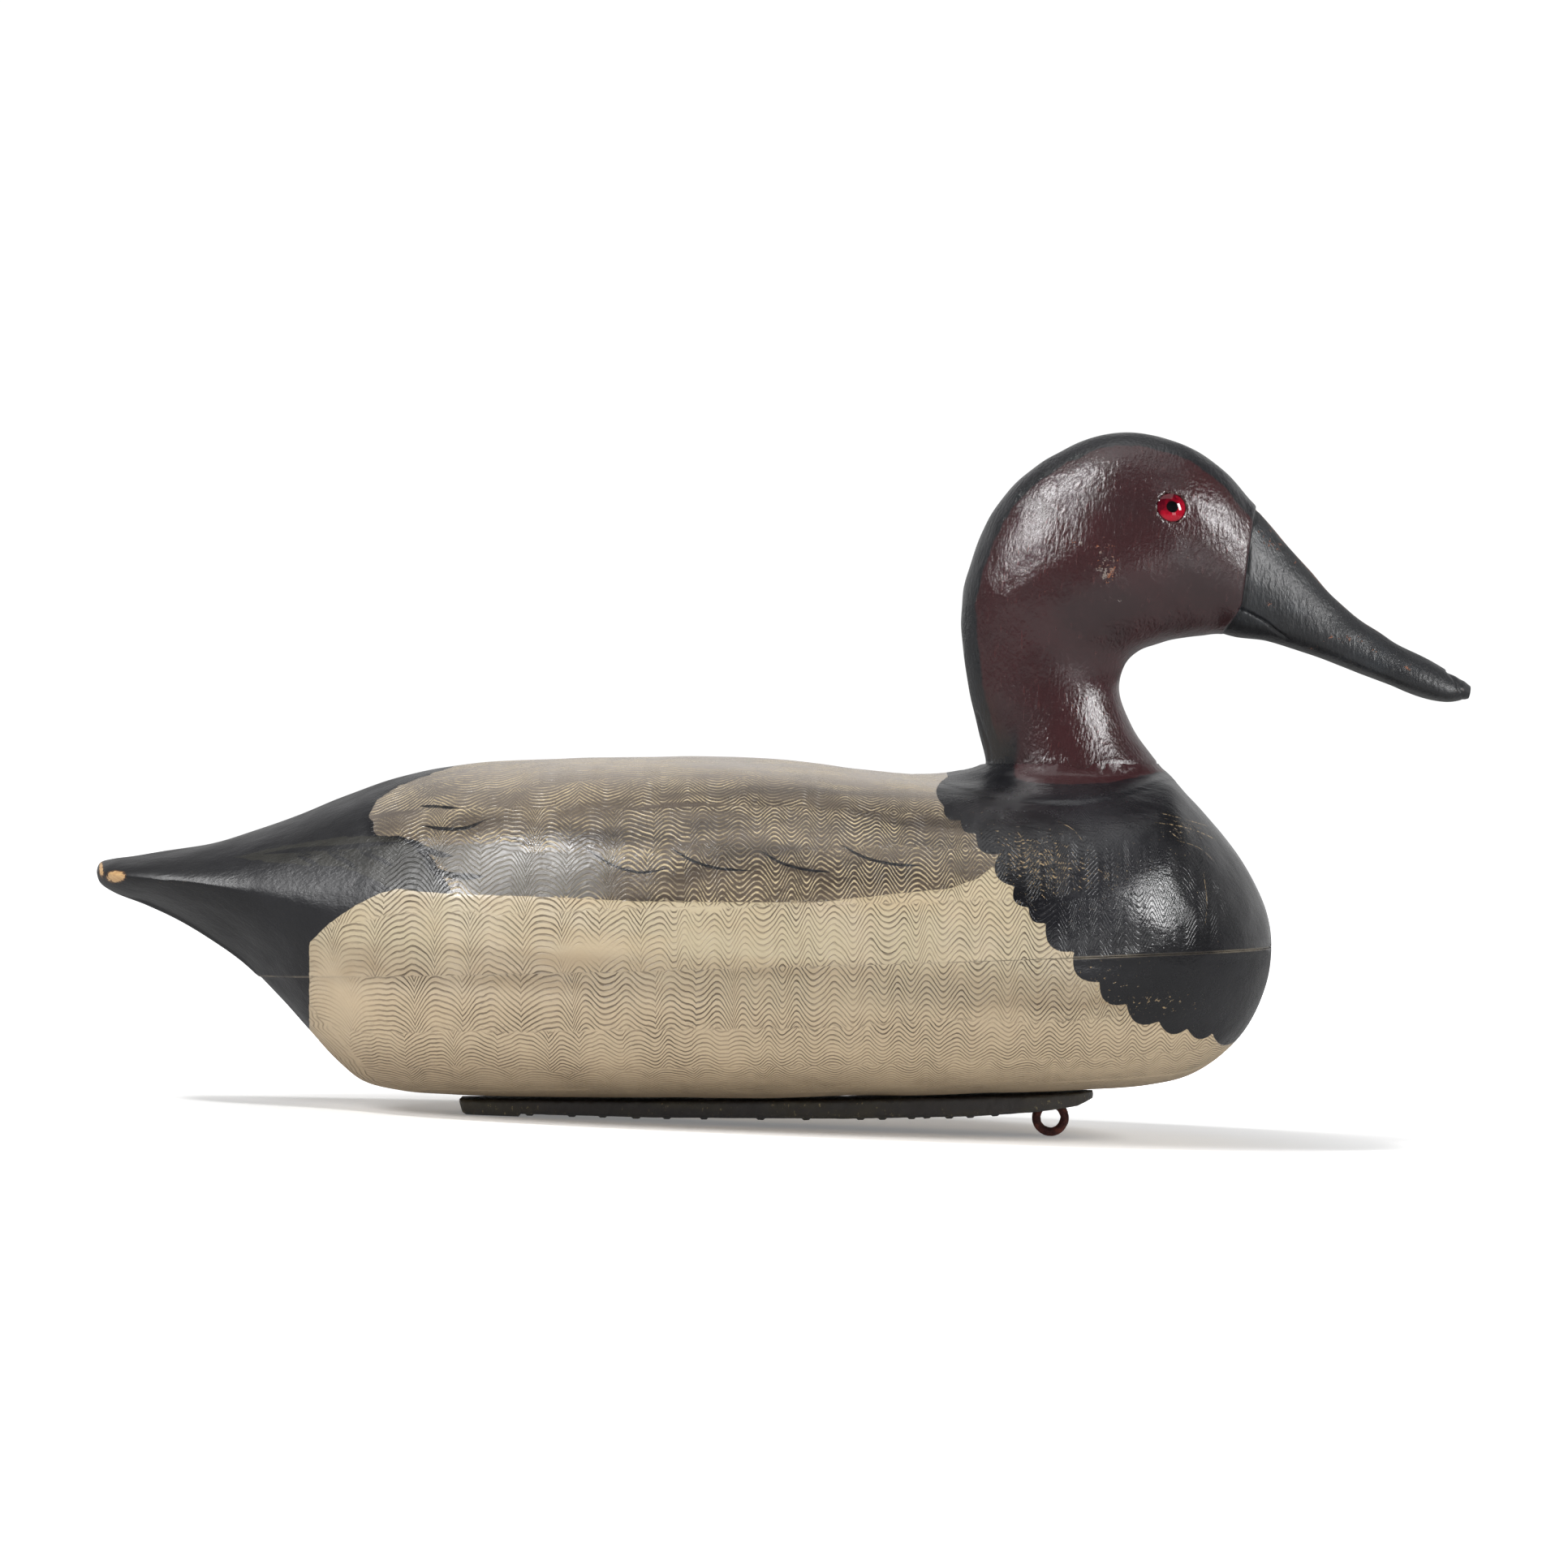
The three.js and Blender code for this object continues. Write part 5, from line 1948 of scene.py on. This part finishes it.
@dataclass(frozen=True)
class RingFinish:
    """Old iron, rusted brown all over."""

    dark: Colour = shade(78, 42, 38)
    rust: Colour = shade(122, 66, 54)

    def build(self) -> bpy.types.Material:
        """Builds the finish.

        Returns:
            The material.
        """
        r = Recipe("ring_rust")
        patches = r.grain(2.6, 4.0)
        pits = r.grain(0.6, 4.0, roughness=0.7)
        colour = r.blend(r.step(patches, 0.4, 0.65), self.dark, self.rust)
        colour = r.blend(r.step(pits, 0.5, 0.7, 0.0, 0.6), colour, shade(48, 28, 26))
        r.set(Base_Color=colour, Metallic=0.25, Roughness=r.step(pits, 0.3, 0.7, 0.5, 0.8))
        r.relief(r.times(pits, 0.25))
        return r.material


# Studio


@dataclass(frozen=True)
class Softbox:
    """A soft studio light: where it stands as seen from the decoy, its size and power."""

    name: str
    bearing: float
    elevation: float
    distance: float
    wide: float
    high: float
    power: float

    def build(self) -> bpy.types.Object:
        """Makes the light, turned towards the decoy.

        The bearing is counted from the camera's side, positive to the right.

        Returns:
            The light's object.
        """
        bearing, elevation = math.radians(self.bearing), math.radians(self.elevation)
        towards = Vector((math.sin(bearing) * math.cos(elevation),
                          -math.cos(bearing) * math.cos(elevation), math.sin(elevation)))
        lamp = bpy.data.lights.new(self.name, "AREA")
        lamp.shape = "RECTANGLE"
        lamp.size, lamp.size_y = self.wide, self.high
        lamp.energy = self.power
        light = bpy.data.objects.new(self.name, lamp)
        light.location = Vector((0.0, 0.0, 0.1)) + towards * self.distance
        light.rotation_mode = "QUATERNION"
        light.rotation_quaternion = (-towards).to_track_quat("-Z", "Y")
        bpy.context.scene.collection.objects.link(light)
        return light


@dataclass(frozen=True)
class Studio:
    """A white studio with a pale floor, and the camera at the photograph's place."""

    boxes: tuple[Softbox, ...] = (
        Softbox("left_softbox", -46.0, 31.0, 1.6, 0.11, 0.6, 14.5),
        Softbox("upper_left_softbox", -52.0, 55.0, 1.6, 0.3, 0.17, 13.0),
        Softbox("right_softbox", 62.0, 27.0, 1.7, 0.3, 0.7, 18.0),
        Softbox("front_fill", 34.0, 2.0, 1.7, 0.45, 0.3, 1.4),
        Softbox("top_softbox", 0.0, 86.0, 1.6, 1.3, 1.2, 5.0),
    )
    ambient: float = 0.08
    backdrop: float = 0.6
    ceiling: float = 0.35
    lens: float = 160.5

    def light(self) -> None:
        """Builds the softboxes and the surroundings.

        A white backdrop stands behind the decoy, so light from there is strong, and light
        from above and from the camera's side is weak. The camera itself sees paper white.
        """
        for box in self.boxes:
            box.build()
        world = bpy.data.worlds.new("white_studio")
        world.use_nodes = True
        tree = world.node_tree
        tree.nodes.clear()
        output = tree.nodes.new("ShaderNodeOutputWorld")
        seen, lighting = (tree.nodes.new("ShaderNodeBackground") for _ in range(2))
        seen.inputs["Strength"].default_value = 1.05
        place = tree.nodes.new("ShaderNodeTexCoord")
        parts = tree.nodes.new("ShaderNodeSeparateXYZ")
        tree.links.new(place.outputs["Generated"], parts.inputs[0])
        strength = tree.nodes.new("ShaderNodeMath")
        strength.operation = "MULTIPLY"
        shares = ((-0.2, 0.7, self.ambient, self.backdrop), (0.45, 0.72, 1.0, self.ceiling))
        for number, (axis, limits) in enumerate(zip("YZ", shares)):
            share = tree.nodes.new("ShaderNodeMapRange")
            share.interpolation_type = "SMOOTHSTEP"
            for socket, value in zip(list(share.inputs)[1:5], limits):
                socket.default_value = value
            tree.links.new(parts.outputs[axis], share.inputs[0])
            tree.links.new(share.outputs[0], strength.inputs[number])
        tree.links.new(strength.outputs[0], lighting.inputs["Strength"])
        for background in (seen, lighting):
            background.inputs["Color"].default_value = (1.0, 1.0, 1.0, 1.0)
        path = tree.nodes.new("ShaderNodeLightPath")
        choice = tree.nodes.new("ShaderNodeMixShader")
        tree.links.new(path.outputs["Is Camera Ray"], choice.inputs[0])
        tree.links.new(lighting.outputs[0], choice.inputs[1])
        tree.links.new(seen.outputs[0], choice.inputs[2])
        tree.links.new(choice.outputs[0], output.inputs["Surface"])
        bpy.context.scene.world = world

    def floor(self) -> None:
        """Lays the pale floor, which glows: white to the camera away from the decoy, dim near it,
        and a little as light thrown back on the decoy.
        """
        half = 6.0
        corners = [(-half, -half, 0.0), (half, -half, 0.0), (half, half, 0.0), (-half, half, 0.0)]
        mesh = bpy.data.meshes.new("pale_floor")
        mesh.from_pydata(corners, [], [(0, 1, 2, 3)])
        floor = bpy.data.objects.new("pale_floor", mesh)
        bpy.context.scene.collection.objects.link(floor)
        recipe = Recipe("pale_floor")
        away = recipe.node("VectorMath")
        away.operation = "LENGTH"
        recipe.plug(recipe.place, away.inputs[0])
        path = recipe.node("LightPath")
        # Painted light: to the camera the floor glows white from 0.36 m out, hiding its edge, but
        # only faintly within 0.15 m of the middle, a painted darker pool about the decoy's shadow;
        # to diffuse rays it glows a little, painted bounce light on the decoy's underside.
        painted_floor_glow = recipe.times(recipe.step(away.outputs["Value"], 0.15, 0.36, 0.14, 1.1),
                            path.outputs["Is Camera Ray"])
        painted_floor_glow = recipe.add(painted_floor_glow, recipe.step(path.outputs["Is Diffuse Ray"], 0.0, 1.0, 0.05, 0.26))
        pale = recipe.blend(path.outputs["Is Glossy Ray"], (0.85, 0.85, 0.85, 1.0),
                            (0.3, 0.3, 0.3, 1.0))
        recipe.set(Base_Color=pale, Roughness=0.9, Specular_IOR_Level=0.1,
                   Emission_Color=(1.0, 1.0, 1.0, 1.0), Emission_Strength=painted_floor_glow)
        mesh.materials.append(recipe.material)

    def camera(self) -> None:
        """Sets the camera level with the neck's foot, with its right along the keel line."""
        view = SIDE_VIEW
        eye = PLACING.world(np.array([0.06, -view.distance, view.eye_height]))
        cos, sin = math.cos(PLACING.tilt), math.sin(PLACING.tilt)
        lens = bpy.data.cameras.new("camera")
        lens.lens = self.lens
        lens.sensor_width = 36.0
        lens.clip_end = 50.0
        camera = bpy.data.objects.new("camera", lens)
        camera.matrix_world = Matrix((
            (cos, -sin, 0.0, eye[0]), (0.0, 0.0, -1.0, eye[1]), (sin, cos, 0.0, eye[2]),
            (0.0, 0.0, 0.0, 1.0)))
        bpy.context.scene.collection.objects.link(camera)
        bpy.context.scene.camera = camera

    def build(self) -> None:
        """Builds lights, floor and camera, and shows colours as they are."""
        self.light()
        self.floor()
        self.camera()
        bpy.context.scene.view_settings.view_transform = "Standard"


def main() -> None:
    """Builds every piece in order and reports it."""
    logging.basicConfig(level=logging.INFO, format="%(name)s: %(message)s")
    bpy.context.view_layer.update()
    Studio().build()
    body_paint = BodyFinish().build()
    body = Body()
    settle(body.build(Block.UPPER), "body_upper", body_paint)
    settle(body.build(Block.LOWER), "body_lower", body_paint)
    settle(Head().build(), "head", HeadFinish().build())
    glass = EyeFinish().build()
    for side in Side:
        settle(Eye(side).build(), f"eye_{side.name.lower()}", glass)
    settle(Weight().build(), "ballast_weight", WeightFinish().build())
    settle(TieRing().build(), "line_tie_ring", RingFinish().build())


if __name__ == "__main__":
    main()
